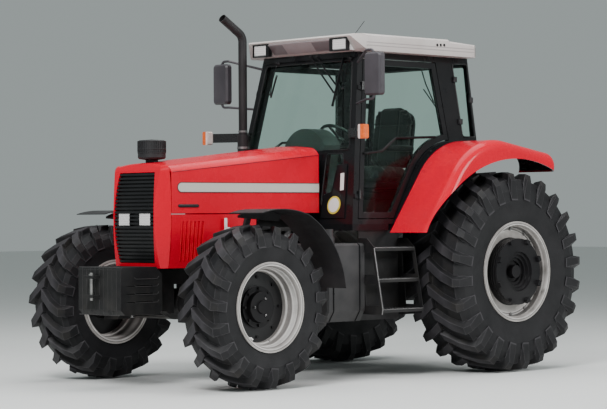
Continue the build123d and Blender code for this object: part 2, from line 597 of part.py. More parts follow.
# Nose: barrel-shaped surround that carries the grille; its front is bowed in side view.
NOSE_LOW_HALF = 328
NOSE_MID_Z = 1400
NOSE_BOW = 44             # how far the nose's foot and brow stand back from its middle
GRILLE_LOW_Z = 1006
GRILLE_HIGH_Z = 1746
GRILLE_HALF_LOW = 224
GRILLE_HALF_MID = 252
GRILLE_HALF_HIGH = 224
NOSE_RIM = 12             # surround between the grille and the nose's front corners
BROW_SHOULDER = (192, 1772)
BROW_CROWN_Z = 1784
with BuildPart() as nose_opening:
    with BuildSketch(cross_plane(NOSE_FRONT - 100)):
        with BuildLine():
            Line((-GRILLE_HALF_LOW, GRILLE_LOW_Z), (GRILLE_HALF_LOW, GRILLE_LOW_Z))
            ThreePointArc((GRILLE_HALF_LOW, GRILLE_LOW_Z), (GRILLE_HALF_MID, NOSE_MID_Z),
                          (GRILLE_HALF_HIGH, GRILLE_HIGH_Z))
            Line((GRILLE_HALF_HIGH, GRILLE_HIGH_Z), (-GRILLE_HALF_HIGH, GRILLE_HIGH_Z))
            ThreePointArc((-GRILLE_HALF_HIGH, GRILLE_HIGH_Z), (-GRILLE_HALF_MID, NOSE_MID_Z),
                          (-GRILLE_HALF_LOW, GRILLE_LOW_Z))
        make_face()
    extrude(amount=-400)
with BuildPart() as nose_tab:
    with Locations((0, back(NOSE_SEAM - 6), SEAM_CROWN_Z - 50)):
        Box(440, 56, 100, align=(Align.CENTER, Align.MIN, Align.MIN))
    add(bonnet_core.part, mode=Mode.INTERSECT)


def nose_outline(distance, low, middle, crease, crease_z, shoulder, crown):
    """Barrel-sided outline of the nose on its station, from half widths and heights."""
    with BuildSketch(cross_plane(distance)) as outline:
        with BuildLine():
            Line((-low, PANEL_LOW_Z), (low, PANEL_LOW_Z))
            ThreePointArc((low, PANEL_LOW_Z), (middle, NOSE_MID_Z), (crease, crease_z))
            ThreePointArc((crease, crease_z), (crease - 10, (crease_z + shoulder[1]) / 2 + 6), shoulder)
            ThreePointArc(shoulder, (0, crown), (-shoulder[0], shoulder[1]))
            ThreePointArc((-shoulder[0], shoulder[1]), (10 - crease, (crease_z + shoulder[1]) / 2 + 6),
                          (-crease, crease_z))
            ThreePointArc((-crease, crease_z), (-middle, NOSE_MID_Z), (-low, PANEL_LOW_Z))
        make_face()
    return outline.sketch


def nose_bow(set_back):
    """Bowed front line of the nose in side view, moved back by a distance."""
    return ThreePointArc(
        (back(NOSE_FRONT + NOSE_BOW + set_back), PANEL_LOW_Z - 1),
        (back(NOSE_FRONT + set_back), NOSE_MID_Z),
        (back(NOSE_FRONT + NOSE_BOW + set_back), GRILLE_HIGH_Z + 16),
    )


with BuildPart() as nose:
    add(nose_outline(NOSE_FRONT, GRILLE_HALF_LOW + NOSE_RIM, GRILLE_HALF_MID + NOSE_RIM,
                     GRILLE_HALF_HIGH + NOSE_RIM, GRILLE_HIGH_Z - 14, BROW_SHOULDER, BROW_CROWN_Z))
    add(nose_outline(NOSE_SEAM, NOSE_LOW_HALF, SEAM_HALF, SEAM_HALF - 14, SEAM_CREASE_Z,
                     SEAM_SHOULDER, SEAM_CROWN_Z))
    loft(ruled=True)
    with BuildSketch(side_plane(-500)):
        with BuildLine():
            bow = nose_bow(0)
            brow = ThreePointArc(bow @ 1, (back(NOSE_FRONT + NOSE_BOW + 6), BROW_CROWN_Z - 8),
                                 (back(NOSE_FRONT + NOSE_BOW + 30), SEAM_CROWN_Z + 1))
            Polyline(brow @ 1, (back(NOSE_SEAM + 1), SEAM_CROWN_Z + 1),
                     (back(NOSE_SEAM + 1), PANEL_LOW_Z - 1), bow @ 0)
        make_face()
    extrude(amount=1000, mode=Mode.INTERSECT)
    add(nose_opening.part, mode=Mode.SUBTRACT)
    add(nose_tab.part)
save(nose, "nose")

# Grille: a bowed back plate with level slats, open for the two headlamps.
SLATS = 24
SLAT_DEEP = 24
GRILLE_BACK = 22
HEADLAMP_Z = 1362
HEADLAMP_HALF_HIGH = 50
HEADLAMP_IN = 62
HEADLAMP_OUT = 204


def bowed_slab(front_offset, thick):
    """Slab behind the bow of the nose, between two distances back from it."""
    with BuildPart() as slab:
        with BuildSketch(side_plane(-GRILLE_HALF_MID - 10)):
            with BuildLine():
                near = nose_bow(front_offset)
                far = nose_bow(front_offset + thick)
                Line(near @ 1, far @ 1)
                Line(far @ 0, near @ 0)
            make_face()
        extrude(amount=2 * GRILLE_HALF_MID + 20)
        add(nose_opening.part, mode=Mode.INTERSECT)
    return slab.part


slat_pitch = (GRILLE_HIGH_Z - GRILLE_LOW_Z) / SLATS
with BuildPart() as slat_bars:
    with Locations(*[(0, back(NOSE_FRONT + 40), GRILLE_LOW_Z + slat_pitch * (row + 0.5))
                     for row in range(SLATS)]):
        Box(2 * GRILLE_HALF_MID + 20, 200, slat_pitch * 0.55)
with BuildPart() as slats:
    add(bowed_slab(3, SLAT_DEEP))
    add(slat_bars.part, mode=Mode.INTERSECT)
with BuildPart() as grille:
    add(bowed_slab(3 + SLAT_DEEP, GRILLE_BACK))
    add(slats.part)
    for side in (-1, 1):
        with Locations((side * (HEADLAMP_IN + HEADLAMP_OUT) / 2, back(NOSE_FRONT + 40), HEADLAMP_Z)):
            Box(HEADLAMP_OUT - HEADLAMP_IN, 200, 2 * HEADLAMP_HALF_HIGH, mode=Mode.SUBTRACT)
save(grille, "grille")

with BuildPart() as headlamps:
    for side in (-1, 1):
        with Locations((side * (HEADLAMP_IN + HEADLAMP_OUT) / 2, back(NOSE_FRONT + 6), HEADLAMP_Z)):
            Box(HEADLAMP_OUT - HEADLAMP_IN, 46, 2 * HEADLAMP_HALF_HIGH,
                align=(Align.CENTER, Align.MIN, Align.CENTER))
    chamfer(headlamps.edges().group_by(Axis.Y)[0], 5)
save(headlamps, "headlamps")

# Lower side panels with upright louvres.
LOUVRE_FRONT = -246
LOUVRE_REAR = 6
LOUVRES = 6
LOUVRE_LOW_Z = 1030
LOUVRE_HIGH_Z = 1345
LOUVRE_TURN = 24          # how far each blade is turned out of the panel
with BuildPart() as side_panels:
    for distance, widen in ((NOSE_SEAM + SEAM_GAP, 0), (PANEL_REAR, COVER_TAPER * (PANEL_REAR - NOSE_SEAM))):
        with BuildSketch(cross_plane(distance)):
            Polygon((NOSE_LOW_HALF + widen, PANEL_LOW_Z), (SEAM_HALF + widen, BONNET_LOW_Z - PANEL_GAP),
                    (SEAM_HALF + widen - BONNET_WALL, BONNET_LOW_Z - PANEL_GAP),
                    (NOSE_LOW_HALF + widen - BONNET_WALL, PANEL_LOW_Z), align=None)
    loft(ruled=True)
    with Locations((FRAME_WING, back(0), FRAME_HIGH_Z + 12)):
        Box(NOSE_LOW_HALF - FRAME_WING - 4, 120, 24, align=(Align.MIN, Align.CENTER, Align.MIN))
    with Locations((ENGINE_HALF, back(450), 1000)):
        Box(SEAM_HALF - ENGINE_HALF - 10, 60, 40, align=(Align.MIN, Align.CENTER, Align.MIN))
    louvre_pitch = (LOUVRE_REAR - LOUVRE_FRONT) / LOUVRES
    louvre_lean = math.degrees(math.atan2(SEAM_HALF - NOSE_LOW_HALF, BONNET_LOW_Z - PANEL_GAP - PANEL_LOW_Z))
    louvre_z = (LOUVRE_LOW_Z + LOUVRE_HIGH_Z) / 2
    louvre_high = (louvre_z - PANEL_LOW_Z) / (BONNET_LOW_Z - PANEL_GAP - PANEL_LOW_Z)
    louvre_x = NOSE_LOW_HALF + (SEAM_HALF - NOSE_LOW_HALF) * louvre_high - BONNET_WALL / 2 + 8
    for row in range(LOUVRES):
        blade_y = back(LOUVRE_FRONT + louvre_pitch * (row + 0.5))
        with Locations((SEAM_HALF, blade_y, (LOUVRE_LOW_Z + LOUVRE_HIGH_Z) / 2)):
            Box(200, louvre_pitch * 0.6, LOUVRE_HIGH_Z - LOUVRE_LOW_Z, mode=Mode.SUBTRACT)
        with Locations(Location((louvre_x, blade_y, louvre_z), (0, louvre_lean, 0))):
            with Locations(Location((0, 0, 0), (0, 0, LOUVRE_TURN))):
                Box(4, louvre_pitch * 0.76, LOUVRE_HIGH_Z - LOUVRE_LOW_Z + 12)
    mirror(about=Plane.YZ)
save(side_panels, "side_panels")

# Air intake: stem through the bonnet with a round cap.
with BuildPart() as precleaner:
    with BuildSketch(Plane(origin=(0, back(PRECLEANER_Y), 0), x_dir=(1, 0, 0), z_dir=(0, -1, 0))):
        with BuildLine():
            Polyline((0, 1790), (STEM_RADIUS - RUNNING_FIT, 1790), (STEM_RADIUS - RUNNING_FIT, 1852),
                     (106, 1860), (115, 1872), (115, 1934), (119, 1938), (119, 1944), (115, 1948),
                     (115, 2002), (104, 2014), (0, 2022), close=True)
        make_face()
    revolve(axis=Axis((0, back(PRECLEANER_Y), 0), (0, 0, 1)))
save(precleaner, "precleaner")

# Exhaust: elbow from the engine, silencer and stack with a forward-curved mouth.
EXHAUST_X = -488
EXHAUST_STATION = 1214
STACK_RADIUS = 38
STACK_WALL = 4
SILENCER_RADIUS = 50
SILENCER_LOW_Z = 1440
SILENCER_HIGH_Z = 2100
STACK_BEND_Z = 2980
MOUTH_STATION = 975
MOUTH_Z = 3128
with BuildPart() as exhaust:
    with BuildLine() as stack_line:
        FilletPolyline(
            (-EXHAUST_PORT_X, back(EXHAUST_PORT), EXHAUST_LOW_Z),
            (EXHAUST_X + 110, back(EXHAUST_PORT), EXHAUST_LOW_Z),
            (EXHAUST_X, back(EXHAUST_STATION), EXHAUST_LOW_Z),
            (EXHAUST_X, back(EXHAUST_STATION), STACK_BEND_Z),
            (EXHAUST_X, back(MOUTH_STATION), MOUTH_Z),
            radius=90,
        )
    with BuildSketch(stack_line.line ^ 0):
        Circle(STACK_RADIUS)
    sweep()
    mouth = stack_line.line ^ 1
    with Locations(Location(mouth)):
        Cylinder(STACK_RADIUS - STACK_WALL, 160, align=(Align.CENTER, Align.CENTER, Align.MAX),
                 mode=Mode.SUBTRACT)
    with Locations((EXHAUST_X, back(EXHAUST_STATION), SILENCER_LOW_Z)):
        Cylinder(SILENCER_RADIUS, SILENCER_HIGH_Z - SILENCER_LOW_Z,
                 align=(Align.CENTER, Align.CENTER, Align.MIN))
save(exhaust, "exhaust")

# Front ballast: a slab of suitcase weights on the frame's nose, with the tow jaw and pin.
BALLAST_FRONT = -800
BALLAST_REAR = FRAME_FRONT
BALLAST_HALF = 272
BALLAST_LOW_Z = 596
BALLAST_HIGH_Z = 980
WEIGHTS = 10
TOW_JAW = NOSE_REACH + BALLAST_FRONT
TOW_PIN_RADIUS = 15
TOW_PIN_REACH = 40
TOW_X = -50
TOW_LOW_Z = 745
TOW_HIGH_Z = 900
SIDE_GROOVES = (700, 765, 830)
with BuildPart() as front_weights:
    weight_pitch = 2 * BALLAST_HALF / WEIGHTS
    with BuildSketch(side_plane(-BALLAST_HALF)) as weight_side:
        Polygon((back(BALLAST_FRONT), BALLAST_LOW_Z + 40), (back(BALLAST_FRONT + 40), BALLAST_LOW_Z),
                (back(BALLAST_REAR - 30), BALLAST_LOW_Z), (back(BALLAST_REAR), BALLAST_LOW_Z + 30),
                (back(BALLAST_REAR), BALLAST_HIGH_Z - 60), (back(BALLAST_REAR - 60), BALLAST_HIGH_Z),
                (back(BALLAST_FRONT + 20), BALLAST_HIGH_Z), (back(BALLAST_FRONT), BALLAST_HIGH_Z - 20),
                align=None)
    extrude(amount=2 * BALLAST_HALF)
    for row in range(1, WEIGHTS):
        with Locations((-BALLAST_HALF + row * weight_pitch, back(BALLAST_FRONT), BALLAST_HIGH_Z)):
            Box(5, 2 * 14, 2 * (BALLAST_HIGH_Z - BALLAST_LOW_Z), mode=Mode.SUBTRACT)
    for low in SIDE_GROOVES:
        with Locations((BALLAST_HALF, back(-600), low), (-BALLAST_HALF, back(-600), low)):
            Box(16, 270, 12, mode=Mode.SUBTRACT)
    for high in (TOW_HIGH_Z, TOW_LOW_Z):
        with Locations((TOW_X, back(BALLAST_FRONT) + 2, high)):
            Box(120, TOW_JAW + 2, 24, align=(Align.CENTER, Align.MAX, Align.CENTER))
        with Locations((TOW_X, back(BALLAST_FRONT) - TOW_PIN_REACH, high)):
            Cylinder(TOW_PIN_RADIUS + RUNNING_FIT, 30, mode=Mode.SUBTRACT)
save(front_weights, "front_weights")

with BuildPart() as tow_pin:
    with Locations((TOW_X, back(BALLAST_FRONT) - TOW_PIN_REACH, TOW_LOW_Z - 34)):
        Cylinder(TOW_PIN_RADIUS, TOW_HIGH_Z - TOW_LOW_Z + 70, align=(Align.CENTER, Align.CENTER, Align.MIN))
    with Locations((TOW_X, back(BALLAST_FRONT) - TOW_PIN_REACH, TOW_HIGH_Z + 12)):
        Cylinder(24, 14, align=(Align.CENTER, Align.CENTER, Align.MIN))
save(tow_pin, "tow_pin")

# ---------------------------------------------------------------- fenders and wheel arches
# Side view of the fender's crest, from the front axle and the ground.
CREST_FOOT = (1505, 906)
CREST_KNEE = (2128, 1760)
CREST_PEAK = (2790, 2032)
CREST_END = (3462, 1780)
RIDGE_LENGTH = 580
LIP = ((1765, 1235), (2560, 1832), (3440, 1768))
LIP_CUT = (1000, 3900)    # what is under the lip is cut away between these stations
LIP_CUT_LOW = 700


def station(point):
    """Side view point of the final frame from one measured behind the front axle."""
    return (back(point[0]), point[1])


def crest_region(grow):
    """Area under the fender's crest, grown or shrunk all round."""
    with BuildSketch(Plane.XY) as region:
        with BuildLine():
            foot = Line(station(CREST_FOOT), station(CREST_KNEE))
            shoulder = TangentArc(foot @ 1, station(CREST_PEAK), tangent=foot % 1)
            ridge = PolarLine(shoulder @ 1, RIDGE_LENGTH, direction=shoulder % 1)
            tail = TangentArc(ridge @ 1, station(CREST_END), tangent=ridge % 1)
            fall = PolarLine(tail @ 1, 900, direction=tail % 1)
            Line(fall @ 1, foot @ 0)
        make_face()
        if grow:
            offset(amount=grow, kind=Kind.INTERSECTION)
    return region.sketch


def arch_solid(grow, x_in, x_out):
    """Crest region stood up on the side plane and drawn out between two X stations."""
    with BuildPart() as arch:
        with BuildSketch(side_plane(x_in)):
            add(crest_region(grow))
        extrude(amount=x_out - x_in)
    return arch.part


def fender_body(grow, x_in, x_out, rounding):
    """Fender form between crest and lip, rounded over its outer top edge."""
    with BuildPart() as body:
        with BuildSketch(side_plane(x_in)):
            add(crest_region(grow))
        extrude(amount=x_out - x_in)
        outer_edges = body.edges().filter_by(
            lambda edge: edge.center().X > x_out - 1 and edge.length > 100
            and (edge.center().Z > LIP[2][1] or edge.center().Y < back(CREST_KNEE[0])))
        fillet(outer_edges, rounding)
    return body.part


with BuildPart() as lip_tool:
    with BuildSketch(side_plane(FENDER_IN_X - 50)):
        with BuildLine():
            lip_arc = ThreePointArc(station(LIP[0]), station(LIP[1]), station(LIP[2]))
            Polyline(lip_arc @ 1, station((LIP_CUT[1], LIP[2][1])), station((LIP_CUT[1], LIP_CUT_LOW)),
                     station((LIP_CUT[0], LIP_CUT_LOW)), station((LIP_CUT[0], LIP[0][1])), lip_arc @ 0)
        make_face()
    extrude(amount=FENDER_OUT_X - FENDER_IN_X + 100)
with BuildPart() as fender_left:
    add(fender_body(0, FENDER_IN_X, FENDER_OUT_X, 84))
    add(fender_body(-FENDER_WALL, FENDER_IN_X - 20, FENDER_OUT_X - FENDER_WALL, 84 - FENDER_WALL),
        mode=Mode.SUBTRACT)
    add(lip_tool.part, mode=Mode.SUBTRACT)
with BuildPart() as fenders:
    add(fender_left.part)
    mirror(about=Plane.YZ)
save(fenders, "fenders")

# ---------------------------------------------------------------- cab
ARCH_IN_X = 655
ARCH_WALL = 20
ARCH_LINER = 30


def lean(low, high, z):
    """Value that runs linearly from the cab's floor to its roof."""
    return low + (high - low) * (z - CAB_LOW_Z) / (CAB_HIGH_Z - CAB_LOW_Z)


def cab_half(z):
    return lean(CAB_HALF_LOW, CAB_HALF_HIGH, z)


def cab_front(z):
    return back(lean(CAB_FRONT_LOW, CAB_FRONT_HIGH, z))


def cab_rear(z):
    return back(lean(CAB_REAR_LOW, CAB_REAR_HIGH, z))


def cab_block(low, high, inset):
    """Solid of the cab's form between two heights, drawn in from its faces."""
    with BuildPart() as block:
        for z in (low, high):
            with BuildSketch(Plane.XY.offset(z)):
                with Locations((0, (cab_front(z) + cab_rear(z)) / 2)):
                    Rectangle(2 * (cab_half(z) - inset), cab_rear(z) - cab_front(z) - 2 * inset)
        loft(ruled=True)
    return block.part


def front_prism(corners, distance, deep):
    """Opening cut along the tractor from front-view corners."""
    with BuildPart() as prism:
        with BuildSketch(cross_plane(distance)):
            Polygon(*corners, align=None)
        extrude(amount=-deep)
    return prism.part


def door_prism(gap):
    """Door outline, drawn in by a gap and pushed through the left wall."""
    low = DOOR_SILL_Z + gap
    high = DOOR_TOP_Z - gap
    with BuildPart() as prism:
        with BuildSketch(side_plane(CAB_HALF_HIGH - 150)):
            Polygon((cab_front(low) + CAB_PILLAR + gap, low), (cab_front(high) + CAB_PILLAR + gap, high),
                    (back(DOOR_REAR_HIGH) - gap, high), (back(DOOR_REAR_LOW) - gap, low), align=None)
        extrude(amount=400)
        add(arch_solid(10 + gap, CAB_HALF_HIGH - 160, CAB_HALF_LOW + 200), mode=Mode.SUBTRACT)
    return prism.part


SCREEN_LOW_Z = 1946
SCREEN_HIGH_Z = 2728
FOOT_LOW_Z = 1470
FOOT_HIGH_Z = 1916
FOOT_IN_X = 370
FOOT_EDGE = 135           # cab corner to the foot window
QUARTER_LOW_Z = 2085
REAR_LOW_Z = 1700
REAR_EDGE = 18
QUARTER_FRONT = 2765
screen_prism = front_prism(
    [(-cab_half(SCREEN_LOW_Z) + CAB_PILLAR, SCREEN_LOW_Z),
     (cab_half(SCREEN_LOW_Z) - CAB_PILLAR, SCREEN_LOW_Z),
     (cab_half(SCREEN_HIGH_Z) - CAB_PILLAR, SCREEN_HIGH_Z),
     (-cab_half(SCREEN_HIGH_Z) + CAB_PILLAR, SCREEN_HIGH_Z)],
    CAB_FRONT_LOW - 100, 400)
foot_prism = front_prism(
    [(FOOT_IN_X, FOOT_LOW_Z), (cab_half(FOOT_LOW_Z) - FOOT_EDGE, FOOT_LOW_Z),
     (cab_half(FOOT_HIGH_Z) - FOOT_EDGE, FOOT_HIGH_Z), (FOOT_IN_X, FOOT_HIGH_Z)],
    CAB_FRONT_LOW - 100, 400)
rear_prism = front_prism(
    [(-ARCH_IN_X + 30, REAR_LOW_Z), (ARCH_IN_X - 30, REAR_LOW_Z), (ARCH_IN_X - 30, QUARTER_LOW_Z),
     (cab_half(SCREEN_HIGH_Z) - REAR_EDGE - CAB_WALL / 2, SCREEN_HIGH_Z),
     (-cab_half(SCREEN_HIGH_Z) + REAR_EDGE + CAB_WALL / 2, SCREEN_HIGH_Z), (-ARCH_IN_X + 30, QUARTER_LOW_Z)],
    CAB_REAR_HIGH - 100, 500)
with BuildPart() as quarter_prism:
    with BuildSketch(side_plane(CAB_HALF_HIGH - 150)):
        Polygon((back(QUARTER_FRONT + 45), QUARTER_LOW_Z), (back(QUARTER_FRONT), DOOR_TOP_Z),
                (cab_rear(DOOR_TOP_Z) - REAR_EDGE, DOOR_TOP_Z),
                (cab_rear(QUARTER_LOW_Z) - REAR_EDGE, QUARTER_LOW_Z), align=None)
    extrude(amount=400)


def both_sides(part):
    """A left-hand piece together with its mirror image."""
    with BuildPart() as pair:
        add(part)
        mirror(about=Plane.YZ)
    return pair.part


def tube(points, bend, radius):
    """Round bar along a bent line."""
    with BuildPart() as bar:
        with BuildLine() as path:
            FilletPolyline(*points, radius=bend)
        with BuildSketch(path.line ^ 0):
            Circle(radius)
        sweep()
    return bar.part


# Openings of the cab, and the door's hinges.
DOOR_FRAME = 52
HINGE_BARREL = 14
HINGE_HIGH = 36
HINGE_OUT = 16
HINGE_HEIGHTS = (1560, 2500)
HINGE_PLATE = 54


def hinge_point(z):
    """Point of the left door's hinge axis at a height."""
    return Vector(cab_half(z) + HINGE_OUT, cab_front(z) + CAB_PILLAR, z)


HINGE_AXIS = (hinge_point(CAB_HIGH_Z) - hinge_point(CAB_LOW_Z)).normalized()


def hinge_plane(z):
    return Plane(origin=hinge_point(z), x_dir=(1, 0, 0), z_dir=HINGE_AXIS)


cab_openings = [screen_prism, both_sides(foot_prism), rear_prism, both_sides(quarter_prism.part),
                both_sides(door_prism(0))]
with BuildPart() as cab_frame:
    add(cab_block(CAB_LOW_Z, CAB_HIGH_Z, 0))
    add(cab_block(CAB_LOW_Z - 20, CAB_HIGH_Z + 20, CAB_WALL), mode=Mode.SUBTRACT)
    for opening in cab_openings:
        add(opening, mode=Mode.SUBTRACT)
    add(both_sides(arch_solid(0, ARCH_IN_X, CAB_HALF_LOW + 50)), mode=Mode.SUBTRACT)
with BuildPart() as arch_liner:
    add(arch_solid(0, ARCH_IN_X, FENDER_IN_X - RUNNING_FIT))
    add(arch_solid(-ARCH_LINER, ARCH_IN_X + ARCH_WALL, FENDER_IN_X + 20), mode=Mode.SUBTRACT)
    with BuildSketch(Plane.XY.offset(CAB_LOW_Z)):
        with Locations((700, (cab_front(CAB_LOW_Z) + cab_rear(CAB_LOW_Z)) / 2)):
            Rectangle(400, cab_rear(CAB_LOW_Z) - cab_front(CAB_LOW_Z))
    extrude(amount=CAB_HIGH_Z - CAB_LOW_Z, mode=Mode.INTERSECT)
    with BuildSketch(side_plane(ARCH_IN_X - 10)):
        Polygon((cab_front(CAB_LOW_Z), CAB_LOW_Z), (cab_rear(CAB_LOW_Z), CAB_LOW_Z),
                (cab_rear(CAB_HIGH_Z), CAB_HIGH_Z), (cab_front(CAB_LOW_Z), CAB_HIGH_Z), align=None)
    extrude(amount=400, mode=Mode.INTERSECT)
with BuildPart() as bonnet_arms:
    with BuildSketch(side_plane(180)):
        Polygon((back(BONNET_HINGE_Y - 20), BONNET_HINGE_Z + 18),
                (back(BONNET_HINGE_Y + 18), BONNET_HINGE_Z + 18),
                (back(BONNET_HINGE_Y + 28), BONNET_HINGE_Z - 40),
                (back(BONNET_REAR + 60), BONNET_HINGE_Z - 100),
                (cab_front(BONNET_HINGE_Z - 100) + 10, BONNET_HINGE_Z - 100),
                (cab_front(BONNET_HINGE_Z - 150) + 10, BONNET_HINGE_Z - 150),
                (back(BONNET_REAR + 40), BONNET_HINGE_Z - 150),
                (back(BONNET_HINGE_Y - 20), BONNET_HINGE_Z - 60), align=None)
    extrude(amount=36)
    with Locations(Location((180, back(BONNET_HINGE_Y), BONNET_HINGE_Z), (0, 90, 0))):
        Cylinder(BONNET_PIN, 84, align=(Align.CENTER, Align.CENTER, Align.MIN))
with BuildPart() as post_hinges:
    for height in HINGE_HEIGHTS:
        with Locations(hinge_plane(height)):
            with Locations((0, 0, -HINGE_HIGH / 2 - RUNNING_FIT)):
                Cylinder(HINGE_BARREL, HINGE_HIGH)
            with Locations((-HINGE_BARREL + 2, -HINGE_PLATE / 2, -HINGE_HIGH / 2 - RUNNING_FIT)):
                Box(14, HINGE_PLATE, HINGE_HIGH)
            with Locations((0, 0, 0)):
                Cylinder(HINGE_RADIUS, 2 * HINGE_HIGH)
with BuildPart() as cab_whole:
    add(cab_frame.part)
    add(both_sides(arch_liner.part))
    add(both_sides(bonnet_arms.part))
    add(both_sides(post_hinges.part))
save(cab_whole, "cab_frame")

with BuildPart() as glass_shell:
    add(cab_block(CAB_LOW_Z + 20, CAB_HIGH_Z - 20, GLASS_INSET))
    add(cab_block(CAB_LOW_Z, CAB_HIGH_Z, GLASS_INSET + GLASS), mode=Mode.SUBTRACT)
with BuildPart() as cab_openings_cut:
    for opening in cab_openings[:4]:
        add(opening)
with BuildPart() as cab_glass:
    add(glass_shell.part)
    add(cab_openings_cut.part, mode=Mode.INTERSECT)
save(cab_glass, "cab_glass")

with BuildPart() as door_left:
    add(cab_block(CAB_LOW_Z + 10, CAB_HIGH_Z - 10, 0))
    add(cab_block(CAB_LOW_Z, CAB_HIGH_Z, DOOR_THICK), mode=Mode.SUBTRACT)
    add(door_prism(PANEL_GAP), mode=Mode.INTERSECT)
    add(door_prism(PANEL_GAP + DOOR_FRAME), mode=Mode.SUBTRACT)
    for height in HINGE_HEIGHTS:
        with Locations(hinge_plane(height)):
            with Locations((0, 0, HINGE_HIGH / 2 + RUNNING_FIT)):
                Cylinder(HINGE_BARREL, HINGE_HIGH)
            with Locations((-HINGE_BARREL + 2, HINGE_PLATE / 2, HINGE_HIGH / 2 + RUNNING_FIT)):
                Box(14, HINGE_PLATE, HINGE_HIGH)
    for height in HINGE_HEIGHTS:
        with Locations(hinge_plane(height)):
            Cylinder(HINGE_RADIUS + RUNNING_FIT, 3 * HINGE_HIGH, mode=Mode.SUBTRACT)
with BuildPart() as door_glass_left:
    add(glass_shell.part)
    add(door_prism(PANEL_GAP + DOOR_FRAME), mode=Mode.INTERSECT)
# One row a bend of the rail across the door: station and height.
RAIL = [(1520, 1917), (1718, 1939), (1906, 2055), (2430, 2075)]
RAIL_OFF = 30
with BuildPart() as door_railed:
    add(door_left.part)
    rail_points = [(cab_half(z) + RAIL_OFF, back(y), z) for y, z in RAIL]
    first = (cab_half(RAIL[0][1]) - 12, back(RAIL[0][0]) + 10, RAIL[0][1])
    last = (cab_half(RAIL[3][1]) - 12, back(RAIL[3][0]) - 20, RAIL[3][1])
    add(tube([first] + rail_points + [last], 16, 11))
for label, piece in (("door", door_railed.part), ("door_glass", door_glass_left.part)):
    with BuildPart() as left:
        add(piece)
    with BuildPart() as right:
        add(piece)
        mirror(about=Plane.YZ, mode=Mode.REPLACE)
    save(left, label + "_left")
    save(right, label + "_right")

# Cab floor on four posts.
FLOOR_LOW_Z = 1256
FLOOR_WIDE_REAR = 1742    # the floor is full width as far as the wheel arches
POST_X = 140
with BuildPart() as cab_floor:
    with Locations((0, back(CAB_FRONT_LOW), CAB_LOW_Z)):
        Box(2 * (ARCH_IN_X - 1), CAB_REAR_LOW - CAB_FRONT_LOW, CAB_LOW_Z - FLOOR_LOW_Z,
            align=(Align.CENTER, Align.MIN, Align.MAX))
        Box(2 * CAB_HALF_LOW, FLOOR_WIDE_REAR - CAB_FRONT_LOW, CAB_LOW_Z - FLOOR_LOW_Z,
            align=(Align.CENTER, Align.MIN, Align.MAX))
    with Locations((-POST_X, back(1530), FLOOR_LOW_Z), (POST_X, back(1530), FLOOR_LOW_Z)):
        Box(90, 110, FLOOR_LOW_Z - GEARBOX_TOP_Z, align=(Align.CENTER, Align.CENTER, Align.MAX))
    with Locations((-POST_X, back(2700), FLOOR_LOW_Z), (POST_X, back(2700), FLOOR_LOW_Z)):
        Box(90, 110, FLOOR_LOW_Z - 1170, align=(Align.CENTER, Align.CENTER, Align.MAX))
save(cab_floor, "cab_floor")

# Roof: a side profile drawn across the cab and trimmed to its plan.
ROOF_FRONT_TOP = 1428
ROOF_FRONT_LOW = 1528
ROOF_STEP = 2590
ROOF_REAR = 3000
WORK_LAMP_X = 500
WORK_LAMP_FRONT = 1440
WORK_LAMP_Z = 2862
WORK_LAMP_WIDE = 176
WORK_LAMP_HIGH = 100
WORK_LAMP_DEEP = 110
with BuildPart() as roof:
    with BuildSketch(side_plane(-ROOF_HALF)):
        Polygon((back(1560), CAB_HIGH_Z), (back(ROOF_FRONT_LOW), CAB_HIGH_Z + 22),
                (back(ROOF_FRONT_TOP), ROOF_HIGH_Z - 16),
                (back(ROOF_FRONT_TOP + 34), ROOF_HIGH_Z), (back(ROOF_STEP), ROOF_HIGH_Z),
                (back(ROOF_STEP + 14), ROOF_HIGH_Z - 14), (back(ROOF_REAR - 30), ROOF_HIGH_Z - 32),
                (back(ROOF_REAR), ROOF_HIGH_Z - 56), (back(ROOF_REAR), CAB_HIGH_Z + 20),
                (back(ROOF_REAR - 40), CAB_HIGH_Z), align=None)
    extrude(amount=2 * ROOF_HALF)
    with BuildSketch(Plane.XY.offset(CAB_HIGH_Z)) as roof_plan:
        Polygon((-620, back(1400)), (620, back(1400)), (ROOF_HALF, back(1545)),
                (ROOF_HALF, back(ROOF_REAR - 90)),
                (ROOF_HALF - 60, back(ROOF_REAR)), (-ROOF_HALF + 60, back(ROOF_REAR)),
                (-ROOF_HALF, back(ROOF_REAR - 90)), (-ROOF_HALF, back(1545)), align=None)
    extrude(amount=200, mode=Mode.INTERSECT)
    top_edges = roof.edges().filter_by(
        lambda edge: edge.center().Z > ROOF_HIGH_Z - 46 and abs(edge.center().X) > ROOF_HALF - 4)
    chamfer(top_edges, 16, 30)
    for side in (-1, 1):
        with Locations((side * WORK_LAMP_X, back(WORK_LAMP_FRONT), WORK_LAMP_Z)):
            Box(WORK_LAMP_WIDE + 2 * RUNNING_FIT, WORK_LAMP_DEEP + 2 * RUNNING_FIT,
                WORK_LAMP_HIGH + 2 * RUNNING_FIT, align=(Align.CENTER, Align.MIN, Align.CENTER), mode=Mode.SUBTRACT)
save(roof, "roof")

with BuildPart() as work_lamps:
    for side in (-1, 1):
        with Locations((side * WORK_LAMP_X, back(WORK_LAMP_FRONT), WORK_LAMP_Z)):
            Box(WORK_LAMP_WIDE, WORK_LAMP_DEEP, WORK_LAMP_HIGH, align=(Align.CENTER, Align.MIN, Align.CENTER))
    chamfer(work_lamps.faces().sort_by(Axis.Y)[0:2].edges(), 10)
save(work_lamps, "work_lamps")

